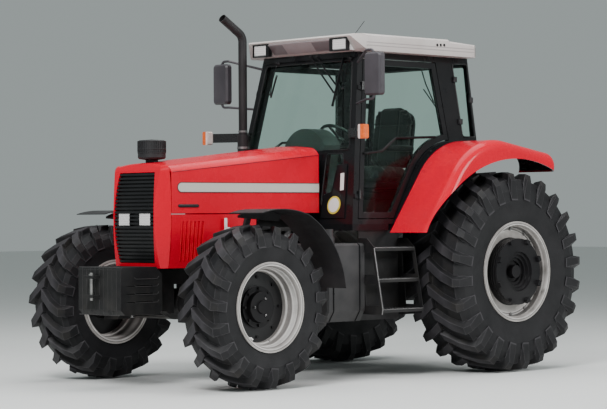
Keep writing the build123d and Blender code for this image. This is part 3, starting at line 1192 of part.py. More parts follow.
# Marker lamps on flat arms from the cab's front posts.
MARKER_X = 990
MARKER_WIDE = 68
MARKER_Y = 1235
MARKER_Z = 2090
MARKER_SEAT_Z = 2050
with BuildPart() as marker_left:
    with Locations((MARKER_X, back(MARKER_Y), MARKER_Z)):
        Box(MARKER_WIDE, 60, 120)
    fillet(marker_left.edges().filter_by(Axis.Y), 14)
    with BuildSketch(Plane.XY.offset(MARKER_SEAT_Z)):
        Polygon((cab_half(MARKER_SEAT_Z) - 60, cab_front(MARKER_SEAT_Z + 80)),
                (cab_half(MARKER_SEAT_Z) - 60, cab_front(MARKER_SEAT_Z) - 26),
                (MARKER_X - 30, back(MARKER_Y + 30)), (MARKER_X + 20, back(MARKER_Y + 30)),
                (MARKER_X + 20, back(MARKER_Y + 46)),
                (cab_half(MARKER_SEAT_Z) - 20, cab_front(MARKER_SEAT_Z + 80)),
                align=None)
    extrude(amount=80)
    add(cab_block(CAB_LOW_Z, CAB_HIGH_Z, 0), mode=Mode.SUBTRACT)
with BuildPart() as marker_lamps:
    add(both_sides(marker_left.part))
save(marker_lamps, "marker_lamps")


# Mirrors on bowed tubes from the cab's front posts.
MIRROR_X = 966
MIRROR_Y = 1393
MIRROR_LOW_Z = 2400
MIRROR_HIGH_Z = 2765
MIRROR_HALF_DEEP = 30
MIRROR_TUBE = 11
TUBE_LOW_Z = 2345
TUBE_HIGH_Z = 2700
with BuildPart() as mirror_left:
    with BuildSketch(cross_plane(MIRROR_Y)) as housing:
        with Locations((MIRROR_X, (MIRROR_LOW_Z + MIRROR_HIGH_Z) / 2)):
            Rectangle(195, MIRROR_HIGH_Z - MIRROR_LOW_Z)
        fillet(housing.vertices(), 34)
    extrude(amount=MIRROR_HALF_DEEP, both=True)
    chamfer(mirror_left.faces().sort_by(Axis.Y)[0].edges(), 16)
    add(tube([(cab_half(TUBE_HIGH_Z) - 20, cab_front(TUBE_HIGH_Z) + 20, TUBE_HIGH_Z),
              (MIRROR_X - 90, back(MIRROR_Y), MIRROR_HIGH_Z + 24),
              (MIRROR_X, back(MIRROR_Y), MIRROR_HIGH_Z + 24), (MIRROR_X, back(MIRROR_Y), MIRROR_LOW_Z - 30),
              (MIRROR_X - 90, back(MIRROR_Y), MIRROR_LOW_Z - 30),
              (cab_half(TUBE_LOW_Z) - 20, cab_front(TUBE_LOW_Z) + 20, TUBE_LOW_Z)], 40, MIRROR_TUBE))
    add(cab_block(CAB_LOW_Z, CAB_HIGH_Z, 0), mode=Mode.SUBTRACT)
with BuildPart() as mirrors:
    add(both_sides(mirror_left.part))
save(mirrors, "mirrors")
with BuildPart() as mirror_glasses:
    with BuildSketch(cross_plane(MIRROR_Y + MIRROR_HALF_DEEP)) as silvered:
        for side in (-1, 1):
            with Locations((side * MIRROR_X, (MIRROR_LOW_Z + MIRROR_HIGH_Z) / 2)):
                Rectangle(165, MIRROR_HIGH_Z - MIRROR_LOW_Z - 30)
        fillet(silvered.vertices(), 26)
    extrude(amount=-3)
save(mirror_glasses, "mirror_glasses")

# ---------------------------------------------------------------- steps and tanks
# One row a tread: height, inner edge, outer edge.
TREADS = [(590, 830, 1050), (845, 800, 1000), (1110, 770, 950)]
STEP_FRONT = 1400
STEP_REAR = 1888
STEP_PLATE = 8
STEP_LOW_Z = 545
TANK_FRONT = 955
TANK_OUT = 840
TANK_IN = 420
TANK_TOP_Z = 1150
TANK_LOW_Z = 490
STEP_BACK_X = 752
with BuildPart() as steps_left:
    for height, inner, outer in TREADS:
        with Locations((inner, back(STEP_FRONT), height)):
            Box(outer - inner, STEP_REAR - STEP_FRONT, 28, align=(Align.MIN, Align.MIN, Align.MAX))
    for end in (STEP_FRONT, STEP_REAR):
        with BuildSketch(cross_plane(end)):
            Polygon((STEP_BACK_X + 8, 1190), (860, 1190), (950, 1110), (1000, 845), (1050, 590), (1040, STEP_LOW_Z),
                    (STEP_BACK_X + 8, STEP_LOW_Z), align=None)
            Polygon((835, 800), (970, 800), (1005, 620), (845, 620), align=None, mode=Mode.SUBTRACT)
            Polygon((805, 1065), (920, 1065), (960, 880), (815, 880), align=None, mode=Mode.SUBTRACT)
        extrude(amount=-STEP_PLATE)
    with Locations((STEP_BACK_X, back(STEP_FRONT), STEP_LOW_Z)):
        Box(8, STEP_REAR - STEP_FRONT + STEP_PLATE, FLOOR_LOW_Z - STEP_LOW_Z,
            align=(Align.MIN, Align.MIN, Align.MIN))
with BuildPart() as steps:
    add(both_sides(steps_left.part))
save(steps, "steps")

with BuildPart() as tank_left:
    with BuildSketch(cross_plane(TANK_FRONT)) as tank_front:
        Polygon((TANK_IN, TANK_LOW_Z + 60), (TANK_IN + 80, TANK_LOW_Z), (TANK_OUT - 60, TANK_LOW_Z),
                (TANK_OUT, TANK_LOW_Z + 90), (TANK_OUT, TANK_TOP_Z - 20), (TANK_OUT - 20, TANK_TOP_Z),
                (TANK_IN, TANK_TOP_Z), align=None)
    extrude(amount=-(STEP_FRONT - 10 - TANK_FRONT))
    with BuildSketch(cross_plane(STEP_FRONT - 10)):
        Polygon((TANK_IN, TANK_LOW_Z + 60), (TANK_IN + 80, TANK_LOW_Z), (STEP_BACK_X, TANK_LOW_Z),
                (STEP_BACK_X, TANK_TOP_Z), (TANK_IN, TANK_TOP_Z), align=None)
    extrude(amount=-(STEP_REAR + STEP_PLATE - STEP_FRONT + 10))
    chamfer(tank_left.faces().sort_by(Axis.Y)[0].edges(), 14)
    with Locations((780, back(1015), TANK_TOP_Z)):
        Cylinder(58, 60, align=(Align.CENTER, Align.CENTER, Align.MIN))
        Cylinder(48, 120, align=(Align.CENTER, Align.CENTER, Align.MIN))
    with Locations((ENGINE_HALF, back(1060), 900)):
        Box(TANK_IN - ENGINE_HALF + 10, 90, 80, align=(Align.MIN, Align.CENTER, Align.MIN))
    with Locations((GEARBOX_HALF, back(1700), 860)):
        Box(TANK_IN - GEARBOX_HALF + 10, 90, 80, align=(Align.MIN, Align.CENTER, Align.MIN))
with BuildPart() as fuel_tanks:
    add(both_sides(tank_left.part))
save(fuel_tanks, "fuel_tanks")

# ---------------------------------------------------------------- driver's place
SEAT_FRONT = 2150
SEAT_HALF = 250
with BuildPart() as seat:
    with Locations((0, back(2380), CAB_LOW_Z)):
        Box(300, 320, 330, align=(Align.CENTER, Align.CENTER, Align.MIN))
    with Locations((0, back(SEAT_FRONT), CAB_LOW_Z + 330)):
        Box(2 * SEAT_HALF - 60, 460, 60, align=(Align.CENTER, Align.MIN, Align.MIN))
    with BuildSketch(side_plane(-SEAT_HALF)) as seat_side:
        with BuildLine():
            FilletPolyline(
                (back(SEAT_FRONT), 1715), (back(SEAT_FRONT), 1830), (back(2540), 1812), (back(2620), 2385),
                (back(2715), 2385), (back(2660), 1700), (back(SEAT_FRONT + 30), 1700),
                close=True, radius=30)
        make_face()
    extrude(amount=2 * SEAT_HALF)
    side_edges = seat.faces().filter_by(Axis.X).filter_by(lambda face: abs(face.center().X) > SEAT_HALF - 1)
    chamfer(side_edges.edges(), 18)
save(seat, "seat")

WHEEL_Y = 1950
WHEEL_Z = 2060
COLUMN_TILT = -40
COWL_FRONT = 1500         # instrument cowl over the console
COWL_DEEP = 200
COWL_HALF = 250
COWL_LOW_Z = 2000
COWL_HIGH_Z = 2150
with BuildPart() as dash:
    with BuildSketch(side_plane(-170)):
        Polygon((cab_front(CAB_LOW_Z) + CAB_WALL, CAB_LOW_Z), (cab_front(1880) + CAB_WALL, 1880),
                (cab_front(1880) + CAB_WALL + 40, 1920), (back(1720), 1900),
                (back(1790), 1700), (back(1700), CAB_LOW_Z), align=None)
    extrude(amount=340)
    with BuildSketch(cross_plane(COWL_FRONT)) as cowl:
        with BuildLine():
            hood = ThreePointArc((-COWL_HALF, COWL_LOW_Z), (0, COWL_HIGH_Z), (COWL_HALF, COWL_LOW_Z))
            Polyline(hood @ 1, (COWL_HALF - 40, 1860), (40 - COWL_HALF, 1860), hood @ 0)
        make_face()
    extrude(amount=-COWL_DEEP)
    with Locations(Location((0, back(WHEEL_Y), WHEEL_Z), (COLUMN_TILT, 0, 0))):
        Torus(195, 15)
        Cylinder(34, 30)
        Cylinder(22, 420, align=(Align.CENTER, Align.CENTER, Align.MAX))
        for spoke_turn in (-90, 30, 150):
            with Locations(Location((0, 0, 0), (0, 0, spoke_turn))):
                Box(195, 26, 12, align=(Align.MIN, Align.CENTER, Align.CENTER))
save(dash, "dash")

# ---------------------------------------------------------------- linkage and drawbar
# Lower link from its front pin to the ball eye, which ends the tractor at the rear.
EYE_RADIUS = 60
EYE_X = 505
EYE_Z = 600
BALL_BORE = 18.7          # category 3 lower link ball
BALL_LENGTH = 45
LIFT_ARM_REAR = ROCKSHAFT_Y + 270
LIFT_ARM_Z = 1240
ROD_LOW = LINK_PIVOT_Y + 490
ROD_LOW_Z = 645
ROD_PIN = 14
ROD_IN_X = 320
ROD_THICK = 24
with BuildPart() as link_left:
    with Locations(Location((LINK_FRONT_X - LINK_THICK / 2, back(LINK_PIVOT_Y), LINK_PIVOT_Z), (0, 90, 0))):
        Cylinder(54, LINK_THICK, align=(Align.CENTER, Align.CENTER, Align.MIN))
    for y, x, z, high in ((LINK_PIVOT_Y, LINK_FRONT_X, LINK_PIVOT_Z, 84),
                          (LINK_PIVOT_Y + 270, LINK_FRONT_X + 10, LINK_PIVOT_Z - 30, 90),
                          (TAIL_REACH - EYE_RADIUS - 30, EYE_X, EYE_Z, 74)):
        with BuildSketch(cross_plane(y)):
            with Locations((x, z)):
                Rectangle(LINK_THICK, high)
    loft(ruled=True)
    with Locations(Location((EYE_X, back(TAIL_REACH - EYE_RADIUS), EYE_Z), (0, 90, 0))):
        Cylinder(EYE_RADIUS, BALL_LENGTH)
        Cylinder(BALL_BORE, 80, mode=Mode.SUBTRACT)
    with Locations(Location((LINK_FRONT_X, back(LINK_PIVOT_Y), LINK_PIVOT_Z), (0, 90, 0))):
        Cylinder(LINK_PIN_RADIUS + RUNNING_FIT, 80, mode=Mode.SUBTRACT)
    with Locations(Location((EYE_X - 130, back(ROD_LOW), ROD_LOW_Z), (0, 90, 0))):
        Cylinder(ROD_PIN + RUNNING_FIT, 120, mode=Mode.SUBTRACT)
with BuildPart() as lower_links:
    add(both_sides(link_left.part))
save(lower_links, "lower_links")

with BuildPart() as arm_left:
    with BuildSketch(side_plane(LIFT_ARM_X - LINK_THICK / 2)):
        Polygon((back(ROCKSHAFT_Y), ROCKSHAFT_Z + 64), (back(LIFT_ARM_REAR), LIFT_ARM_Z + 34),
                (back(LIFT_ARM_REAR), LIFT_ARM_Z - 34), (back(ROCKSHAFT_Y), ROCKSHAFT_Z - 64), align=None)
        with Locations((back(ROCKSHAFT_Y), ROCKSHAFT_Z)):
            Circle(66)
            Circle(ROCKSHAFT_RADIUS + RUNNING_FIT, mode=Mode.SUBTRACT)
        with Locations((back(LIFT_ARM_REAR), LIFT_ARM_Z)):
            Circle(36)
            Circle(ROD_PIN + RUNNING_FIT, mode=Mode.SUBTRACT)
    extrude(amount=LINK_THICK)
with BuildPart() as lift_arms:
    add(both_sides(arm_left.part))
save(lift_arms, "lift_arms")

with BuildPart() as rod_left:
    with BuildSketch(side_plane(ROD_IN_X)):
        Polygon((back(LIFT_ARM_REAR) - 22, LIFT_ARM_Z), (back(LIFT_ARM_REAR) + 22, LIFT_ARM_Z),
                (back(ROD_LOW) + 22, ROD_LOW_Z), (back(ROD_LOW) - 22, ROD_LOW_Z), align=None)
        with Locations((back(LIFT_ARM_REAR), LIFT_ARM_Z), (back(ROD_LOW), ROD_LOW_Z)):
            Circle(34)
    extrude(amount=ROD_THICK)
    with Locations(Location((LIFT_ARM_X - 24, back(LIFT_ARM_REAR), LIFT_ARM_Z), (0, 90, 0))):
        Cylinder(ROD_PIN, ROD_IN_X - LIFT_ARM_X + 30, align=(Align.CENTER, Align.CENTER, Align.MIN))
    with Locations(Location((ROD_IN_X, back(ROD_LOW), ROD_LOW_Z), (0, 90, 0))):
        Cylinder(ROD_PIN, 82, align=(Align.CENTER, Align.CENTER, Align.MIN))
with BuildPart() as lift_rods:
    add(both_sides(rod_left.part))
save(lift_rods, "lift_rods")

# Top link on its bracket, and the drawbar under the axle.
TOP_LINK_REAR = WHEELBASE + REAR_TYRE_RADIUS + 130
TOP_LINK_REAR_Z = 905
TOP_EYE_LENGTH = 51
TOP_EYE_BORE = 16.1
TOP_SCREW_RADIUS = 18
TOP_SLEEVE_RADIUS = 27
with BuildPart() as top_link:
    with Locations(Location((0, back(HOUSING_REAR + TOP_LINK_REACH), TOP_LINK_Z), (0, 90, 0))):
        Cylinder(30, 2 * (TOP_LINK_EAR - 20) - 4)
    with Locations(Location((0, back(TOP_LINK_REAR), TOP_LINK_REAR_Z), (0, 90, 0))):
        Cylinder(38, TOP_EYE_LENGTH)
    with BuildLine() as shank:
        Line((0, back(HOUSING_REAR + TOP_LINK_REACH), TOP_LINK_Z), (0, back(TOP_LINK_REAR), TOP_LINK_REAR_Z))
    with BuildSketch(shank.line ^ 0):
        Circle(TOP_SCREW_RADIUS)
    sweep(path=shank.line)
    with BuildLine() as sleeve:
        Line(shank.line @ 0.22, shank.line @ 0.78)
    with BuildSketch(sleeve.line ^ 0):
        Circle(TOP_SLEEVE_RADIUS)
    sweep(path=sleeve.line)
    with Locations(Location((0, back(HOUSING_REAR + TOP_LINK_REACH), TOP_LINK_Z), (0, 90, 0))):
        Cylinder(TOP_PIN_RADIUS + RUNNING_FIT, 100, mode=Mode.SUBTRACT)
    with Locations(Location((0, back(TOP_LINK_REAR), TOP_LINK_REAR_Z), (0, 90, 0))):
        Cylinder(TOP_EYE_BORE, 100, mode=Mode.SUBTRACT)
save(top_link, "top_link")

DRAWBAR_FRONT = HOUSING_REAR - 390
DRAWBAR_HOLE = HOUSING_REAR + PTO_BOSS + 86 + 400
DRAWBAR_BORE = 16.5
with BuildPart() as drawbar:
    with Locations((0, back(DRAWBAR_FRONT), DRAWBAR_TOP_Z)):
        Box(80, DRAWBAR_HOLE + 50 - DRAWBAR_FRONT, 44, align=(Align.CENTER, Align.MIN, Align.MAX))
    fillet(drawbar.edges().filter_by(Axis.Z).sort_by(Axis.Y)[-2:], 30)
    with Locations((0, back(DRAWBAR_HOLE), DRAWBAR_TOP_Z - 22)):
        Cylinder(DRAWBAR_BORE, 100, mode=Mode.SUBTRACT)
save(drawbar, "drawbar")
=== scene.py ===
import bpy
import bmesh
import math
from mathutils import Matrix, Vector


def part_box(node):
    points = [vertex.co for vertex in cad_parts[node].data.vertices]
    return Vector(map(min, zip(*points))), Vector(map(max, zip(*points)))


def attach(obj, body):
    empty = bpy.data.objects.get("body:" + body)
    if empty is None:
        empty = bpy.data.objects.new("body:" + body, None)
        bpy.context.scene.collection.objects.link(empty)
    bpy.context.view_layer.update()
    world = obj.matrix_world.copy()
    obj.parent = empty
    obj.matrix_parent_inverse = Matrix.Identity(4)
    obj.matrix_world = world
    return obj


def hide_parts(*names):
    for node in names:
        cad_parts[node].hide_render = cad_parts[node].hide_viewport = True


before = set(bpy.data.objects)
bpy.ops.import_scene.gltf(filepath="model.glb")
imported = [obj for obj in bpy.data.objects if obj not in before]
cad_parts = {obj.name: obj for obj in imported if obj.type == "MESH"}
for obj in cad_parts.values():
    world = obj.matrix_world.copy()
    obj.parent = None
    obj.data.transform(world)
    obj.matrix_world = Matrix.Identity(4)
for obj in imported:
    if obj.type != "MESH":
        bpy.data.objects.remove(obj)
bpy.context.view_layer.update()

FRONT_AXLE_Y, FRONT_AXLE_Z = -1.566, 0.6594
REAR_AXLE_Y, REAR_AXLE_Z = 1.280, 0.8829
SIDES = ((1, "left"), (-1, "right"))


def back(distance):
    """Y of a station behind the front axle, in metres."""
    return FRONT_AXLE_Y + distance


# ---------------------------------------------------------------- node tools
def feed(tree, socket, value):
    """Fills a node's input from another node's output, or with a plain value or colour."""
    if isinstance(value, bpy.types.NodeSocket):
        tree.links.new(value, socket)
    elif socket.type == "RGBA" and len(value) == 3:
        socket.default_value = (*value, 1.0)
    else:
        socket.default_value = value


def add_node(tree, kind, *in_order, **named):
    """Node whose inputs are filled in order or by name, with _ for a space; set_ starts a setting."""
    made = tree.nodes.new(kind)
    for key, value in named.items():
        if key.startswith("set_"):
            setattr(made, key[4:], value)
        else:
            feed(tree, made.inputs[key.replace("_", " ")], value)
    for socket, value in zip(made.inputs, in_order):
        feed(tree, socket, value)
    return made


# ---------------------------------------------------------------- material tools
DUST = (0.085, 0.075, 0.065)
DEEP_BLACK = (0.008, 0.008, 0.009)


def darker(colour, share):
    """Colour with a share of its light left."""
    return tuple(value * share for value in colour)


class Finish:
    """Material in the making: its nodes, its shader and the place of each point on the tractor."""

    def __init__(self, name):
        self.material = bpy.data.materials.new(name)
        self.material.use_nodes = True
        self.tree = self.material.node_tree
        self.tree.nodes.clear()
        self.shader = self.add("ShaderNodeBsdfPrincipled")
        self.add("ShaderNodeOutputMaterial", self.shader.outputs[0])
        self.where = self.add("ShaderNodeTexCoord").outputs["Object"]
        self.x, self.y, self.z = self.axes(self.where)

    def add(self, kind, *in_order, **named):
        """Node in this material."""
        return add_node(self.tree, kind, *in_order, **named)

    def fill(self, **named):
        """Fills the shader's inputs by name."""
        for key, value in named.items():
            feed(self.tree, self.shader.inputs[key.replace("_", " ")], value)

    def axes(self, vector):
        """The three parts of a vector."""
        return self.add("ShaderNodeSeparateXYZ", vector).outputs[:3]

    def grain(self, scale, detail=3.0, rough=0.5):
        """Noise over the surface."""
        return self.add("ShaderNodeTexNoise", Vector=self.where, Scale=scale, Detail=detail,
                        Roughness=rough).outputs["Fac"]

    def remap(self, value, low, high, to_low=0.0, to_high=1.0):
        """Value taken from one range to another, and held there."""
        return self.add("ShaderNodeMapRange", value, low, high, to_low, to_high, set_clamp=True).outputs[0]

    def patches(self, scale, detail, low, high, to_low=0.0, to_high=1.0, rough=0.5):
        """Noise whose low and high values are held at set ones."""
        return self.remap(self.grain(scale, detail, rough), low, high, to_low, to_high)

    def work(self, kind, first, second=0.0):
        """Arithmetic on one or two values."""
        return self.add("ShaderNodeMath", first, second, set_operation=kind).outputs[0]

    def times(self, first, second):
        """Product of two values."""
        return self.work("MULTIPLY", first, second)

    def plus(self, first, second):
        """Sum of two values."""
        return self.work("ADD", first, second)

    def minus(self, first, second):
        """Difference of two values."""
        return self.work("SUBTRACT", first, second)

    def away(self, value, place):
        """Distance of a value from a place, either way."""
        return self.work("ABSOLUTE", self.minus(value, place))

    def reach(self, run, rise):
        """Length of a line from its run and its rise."""
        return self.work("SQRT", self.plus(self.times(run, run), self.times(rise, rise)))

    def from_axle(self, axle_y, axle_z):
        """Distance from a wheel's axis."""
        return self.reach(self.minus(self.y, axle_y), self.minus(self.z, axle_z))

    def wave(self, value, rate):
        """Wave along a value."""
        return self.work("SINE", self.times(value, rate))

    def blend(self, share, first, second):
        """Colour between two colours."""
        made = self.add("ShaderNodeMix", set_data_type="RGBA")
        for index, value in ((0, share), (6, first), (7, second)):
            feed(self.tree, made.inputs[index], value)
        return made.outputs[2]

    def relief(self, height, strength, distance):
        """Fine relief of the surface."""
        self.fill(Normal=self.add("ShaderNodeBump", Height=height, Strength=strength,
                                  Distance=distance).outputs[0])

    def worn_and_highlit_edges(self, radius):
        """1 on sharp edges and 0 on flat faces."""
        soft = self.add("ShaderNodeBevel", radius, set_samples=4)
        flat = self.add("ShaderNodeNewGeometry")
        dot = self.add("ShaderNodeVectorMath", soft.outputs[0], flat.outputs["Normal"],
                       set_operation="DOT_PRODUCT")
        return self.remap(dot.outputs["Value"], 0.995, 0.90)


def paint(name, colour, shade, rough, coat, dust=0.06, dust_top=1.1, wear_and_highlight=None, over=None):
    """Sprayed finish: slow colour drift, fine orange peel, road dust low down, and sharp edges painted
    lighter in patches, partly wear, partly a painted edge highlight.
    """
    made = Finish(name)
    tone = made.blend(made.patches(1.7, 4, 0.3, 0.7), colour, shade)
    if wear_and_highlight:
        # Sharp edges painted lighter in patches: partly wear, partly a painted edge highlight.
        rubbed_and_highlit = made.times(made.worn_and_highlit_edges(0.003), made.patches(14, 5, 0.42, 0.6))
        tone = made.blend(rubbed_and_highlit, tone, wear_and_highlight)
    film = made.times(made.remap(made.z, dust_top, 0.25), made.patches(6.5, 6, 0.35, 0.75, rough=0.6))
    film = made.times(film, dust)
    tone = made.blend(film, tone, DUST)
    if over:
        tone = over(made, tone)
    gloss = made.patches(9, 4, 0.3, 0.7, rough * 0.85, rough * 1.2)
    made.fill(Base_Color=tone, Roughness=made.plus(gloss, made.times(film, 0.5)), Coat_Weight=coat,
              Coat_Roughness=0.08, Specular_IOR_Level=0.14)
    made.relief(made.grain(260, 2), 0.06, 0.0006)
    return made.material


def casting(name, colour, shade, rough=0.6, pits=90):
    """Painted rough casting with dust low down, its sharp edges painted lighter grey, partly wear, partly a
    painted edge highlight.
    """
    made = Finish(name)
    tone = made.blend(made.patches(5, 5, 0.35, 0.65), colour, shade)
    film = made.times(made.remap(made.z, 1.0, 0.3), made.patches(8, 6, 0.4, 0.8, 0.0, 0.45))
    tone = made.blend(film, tone, DUST)
    # Sharp edges painted lighter grey: painted edge highlight, partly wear.
    tone = made.blend(made.times(made.worn_and_highlit_edges(0.003), 0.35), tone, (0.14, 0.135, 0.135))
    made.fill(Base_Color=tone, Roughness=made.patches(12, 4, 0.3, 0.7, rough - 0.08, rough + 0.12),
              Specular_IOR_Level=0.30)
    made.relief(made.grain(pits, 5, 0.6), 0.35, 0.0015)
    return made.material


def moulded(name, colour, shade, rough=0.5, grit=700, dust=0.25):
    """Moulded plastic with a fine grained skin."""
    made = Finish(name)
    tone = made.blend(made.patches(3.5, 4, 0.35, 0.65), colour, shade)
    film = made.times(made.remap(made.z, 1.4, 0.3), made.patches(7, 6, 0.4, 0.8, 0.0, dust))
    made.fill(Base_Color=made.blend(film, tone, DUST), Specular_IOR_Level=0.35,
              Roughness=made.patches(15, 4, 0.3, 0.7, rough - 0.06, rough + 0.08))
    made.relief(made.grain(grit, 2), 0.22, 0.0005)
    return made.material


def bare_steel(name, colour, rough):
    """Turned or drawn metal."""
    made = Finish(name)
    made.fill(Base_Color=made.blend(made.grain(20, 4), colour, darker(colour, 0.7)), Metallic=1.0,
              Roughness=made.patches(30, 3, 0.3, 0.7, rough * 0.8, rough * 1.3))
    made.relief(made.grain(120, 3), 0.1, 0.0005)
    return made.material


def rubber(name, axle_y, axle_z, tread, shoulder):
    """Tyre rubber: dark sidewall with moulded rings, paler worn lug faces, sharp edges lighter as a painted
    edge highlight on scuffed rubber, soil between the lugs.
    """
    made = Finish(name)
    reach = made.from_axle(axle_y, axle_z)
    tone = made.blend(made.patches(4, 5, 0.3, 0.7), (0.005, 0.005, 0.006), (0.012, 0.0115, 0.013))
    face = made.times(made.remap(reach, tread - 0.016, tread - 0.003),
                      made.patches(11, 5, 0.3, 0.7, 0.45, 0.9))
    tone = made.blend(face, tone, (0.040, 0.037, 0.042))
    # Sharp edges painted lighter: painted edge highlight, partly scuffed rubber.
    tone = made.blend(made.times(made.worn_and_highlit_edges(0.010), 0.5), tone, (0.075, 0.070, 0.077))
    soil = made.times(made.remap(reach, shoulder - 0.05, shoulder + 0.02),
                      made.patches(9, 6, 0.45, 0.75, 0.0, 0.5))
    soil = made.times(soil, made.minus(1.0, face))
    made.fill(Base_Color=made.blend(soil, tone, (0.030, 0.026, 0.022)), Specular_IOR_Level=0.28,
              Roughness=made.patches(7, 4, 0.3, 0.7, 0.48, 0.72))
    rings = made.times(made.wave(reach, 520.0), made.remap(reach, shoulder - 0.08, shoulder - 0.10))
    made.relief(made.plus(made.times(rings, 0.35), made.grain(160, 4)), 0.35, 0.0015)
    return made.material


def pane(name, tint):
    """Tinted window glass with a little dust."""
    made = Finish(name)
    film = made.patches(3, 6, 0.35, 0.8, 0.0, 0.05)
    made.fill(Base_Color=made.blend(film, tint, (0.80, 0.80, 0.78)), Roughness=made.plus(film, 0.02),
              Transmission_Weight=1.0, IOR=1.2)
    return made.material


def lens(name, colour, ribs):
    """Lamp lens: a bright reflector under ribbed glass."""
    made = Finish(name)
    both = made.plus(made.wave(made.x, ribs), made.times(made.wave(made.z, ribs * 0.5), 0.4))
    made.fill(Base_Color=made.blend(made.remap(both, -1.2, 1.2), colour, darker(colour, 0.55)),
              Roughness=made.patches(40, 3, 0.3, 0.7, 0.08, 0.2), Coat_Weight=1.0)
    made.relief(both, 0.4, 0.002)
    return made.material


def marker_lens(name, gloss):
    """Marker lamp, from the tractor's middle outwards: black arm, pale lens, orange lens."""
    made = Finish(name)
    place = made.work("ABSOLUTE", made.x)
    tone = DEEP_BLACK
    for start, colour in ((0.955, (0.80, 0.66, 0.62)), (0.981, (0.80, 0.13, 0.015))):
        tone = made.blend(made.remap(place, start - 0.001, start + 0.001), tone, colour)
    tone = made.blend(made.patches(30, 4, 0.35, 0.65, 0.0, 0.18), tone, (0.02, 0.02, 0.02))
    made.fill(Base_Color=tone, Roughness=made.patches(40, 3, 0.3, 0.7, gloss * 0.8, gloss * 1.3))
    made.relief(made.wave(made.z, 900.0), 0.25, 0.0008)
    return made.material


def rim_finish(name, axle_y, axle_z, steps, black_to):
    """Wheel paint: silver barrel with turned steps, each drawn with a painted shade ring and a painted
    highlight ring, black centre disc, soil in patches.
    """
    made = Finish(name)
    reach = made.from_axle(axle_y, axle_z)
    tone = made.blend(made.patches(5, 5, 0.3, 0.7), (0.50, 0.47, 0.45), (0.36, 0.335, 0.32))
    # Each step: a dark ring on it as painted shade, and a bright ring just inside it as painted highlight.
    for step in steps:
        tone = made.blend(made.remap(made.away(reach, step), 0.006, 0.0015, 0.0, 0.75), tone,
                          (0.09, 0.085, 0.085))
        tone = made.blend(made.remap(made.away(reach, step - 0.010), 0.006, 0.001, 0.0, 0.6), tone,
                          (0.78, 0.76, 0.74))
    soil = made.patches(7, 6, 0.42, 0.72, 0.0, 0.45, rough=0.62)
    tone = made.blend(soil, tone, (0.16, 0.14, 0.125))
    tone = made.blend(made.remap(reach, black_to + 0.002, black_to - 0.002), tone, DEEP_BLACK)
    made.fill(Base_Color=tone, Roughness=made.patches(12, 4, 0.3, 0.7, 0.30, 0.52), Metallic=0.25)
    made.relief(made.grain(140, 3), 0.10, 0.0008)
    return made.material


def roof_finish(name):
    """Light roof moulding with weathered grain, its sides darker towards the bottom as painted shade, and
    two pressed lines along each side drawn as dark lines of painted shade.
    """
    made = Finish(name)
    tone = made.blend(made.patches(2.5, 5, 0.35, 0.65), (0.54, 0.50, 0.48), (0.46, 0.42, 0.40))
    # Lower part of the roof's sides painted darker: painted shade.
    tone = made.blend(made.remap(made.z, 2.915, 2.80, 0.0, 0.35), tone, (0.30, 0.26, 0.26))
    side = made.remap(made.work("ABSOLUTE", made.x), 0.735, 0.741)
    # Pressed lines drawn as dark lines: painted shade of the grooves.
    for height in (2.845, 2.872):
        groove_shade = made.times(made.remap(made.away(made.z, height), 0.006, 0.002), side)
        tone = made.blend(made.times(groove_shade, 0.6), tone, (0.16, 0.14, 0.14))
    rear = made.remap(made.y, ROOF_REAR_Y - 0.016, ROOF_REAR_Y - 0.012)
    made.fill(Base_Color=made.blend(rear, tone, (0.010, 0.010, 0.011)),
              Roughness=made.patches(12, 4, 0.3, 0.7, 0.34, 0.52))
    made.relief(made.grain(420, 2), 0.15, 0.0005)
    return made.material


def seat_fabric(name):
    """Ribbed seat cloth with a soft sheen."""
    made = Finish(name)
    threads = 1400.0
    weave = made.plus(made.wave(made.x, threads), made.wave(made.plus(made.z, made.y), threads))
    tone = made.blend(made.remap(weave, -1.6, 1.6), (0.006, 0.012, 0.011), (0.016, 0.030, 0.027))
    tone = made.blend(made.patches(6, 4, 0.4, 0.7, 0.0, 0.35), tone, (0.026, 0.042, 0.038))
    made.fill(Base_Color=tone, Roughness=made.patches(50, 3, 0.3, 0.7, 0.75, 0.9), Sheen_Weight=0.3)
    made.relief(weave, 0.35, 0.0008)
    return made.material


# Height of the stripe's middle, Y where its round front end starts, Y of the roof's rear end.
STRIPE_MIDDLE_Z = 1.622
STRIPE_ROUND_Y = back(-0.243)
ROOF_REAR_Y = back(3.000)
RED = (0.62, 0.0, 0.020)
RED_DEEP = (0.55, 0.0, 0.017)


def stripe_border(made, tone):
    """Dark line along the stripe's edge, round its front end too."""
    rise = made.minus(made.z, STRIPE_MIDDLE_Z)
    run = made.work("MAXIMUM", made.minus(STRIPE_ROUND_Y, made.y), 0.0)
    return made.blend(made.remap(made.reach(rise, run), 0.0355, 0.0365), tone, (0.05, 0.045, 0.04))


def black_underside(made, tone):
    """Black where a fender faces its wheel."""
    normal = made.axes(made.add("ShaderNodeNewGeometry").outputs["Normal"])
    inward = made.plus(made.times(normal[1], made.minus(made.y, REAR_AXLE_Y)),
                       made.times(normal[2], made.minus(made.z, REAR_AXLE_Z)))
    return made.blend(made.remap(inward, -0.25, -0.40), tone, DEEP_BLACK)


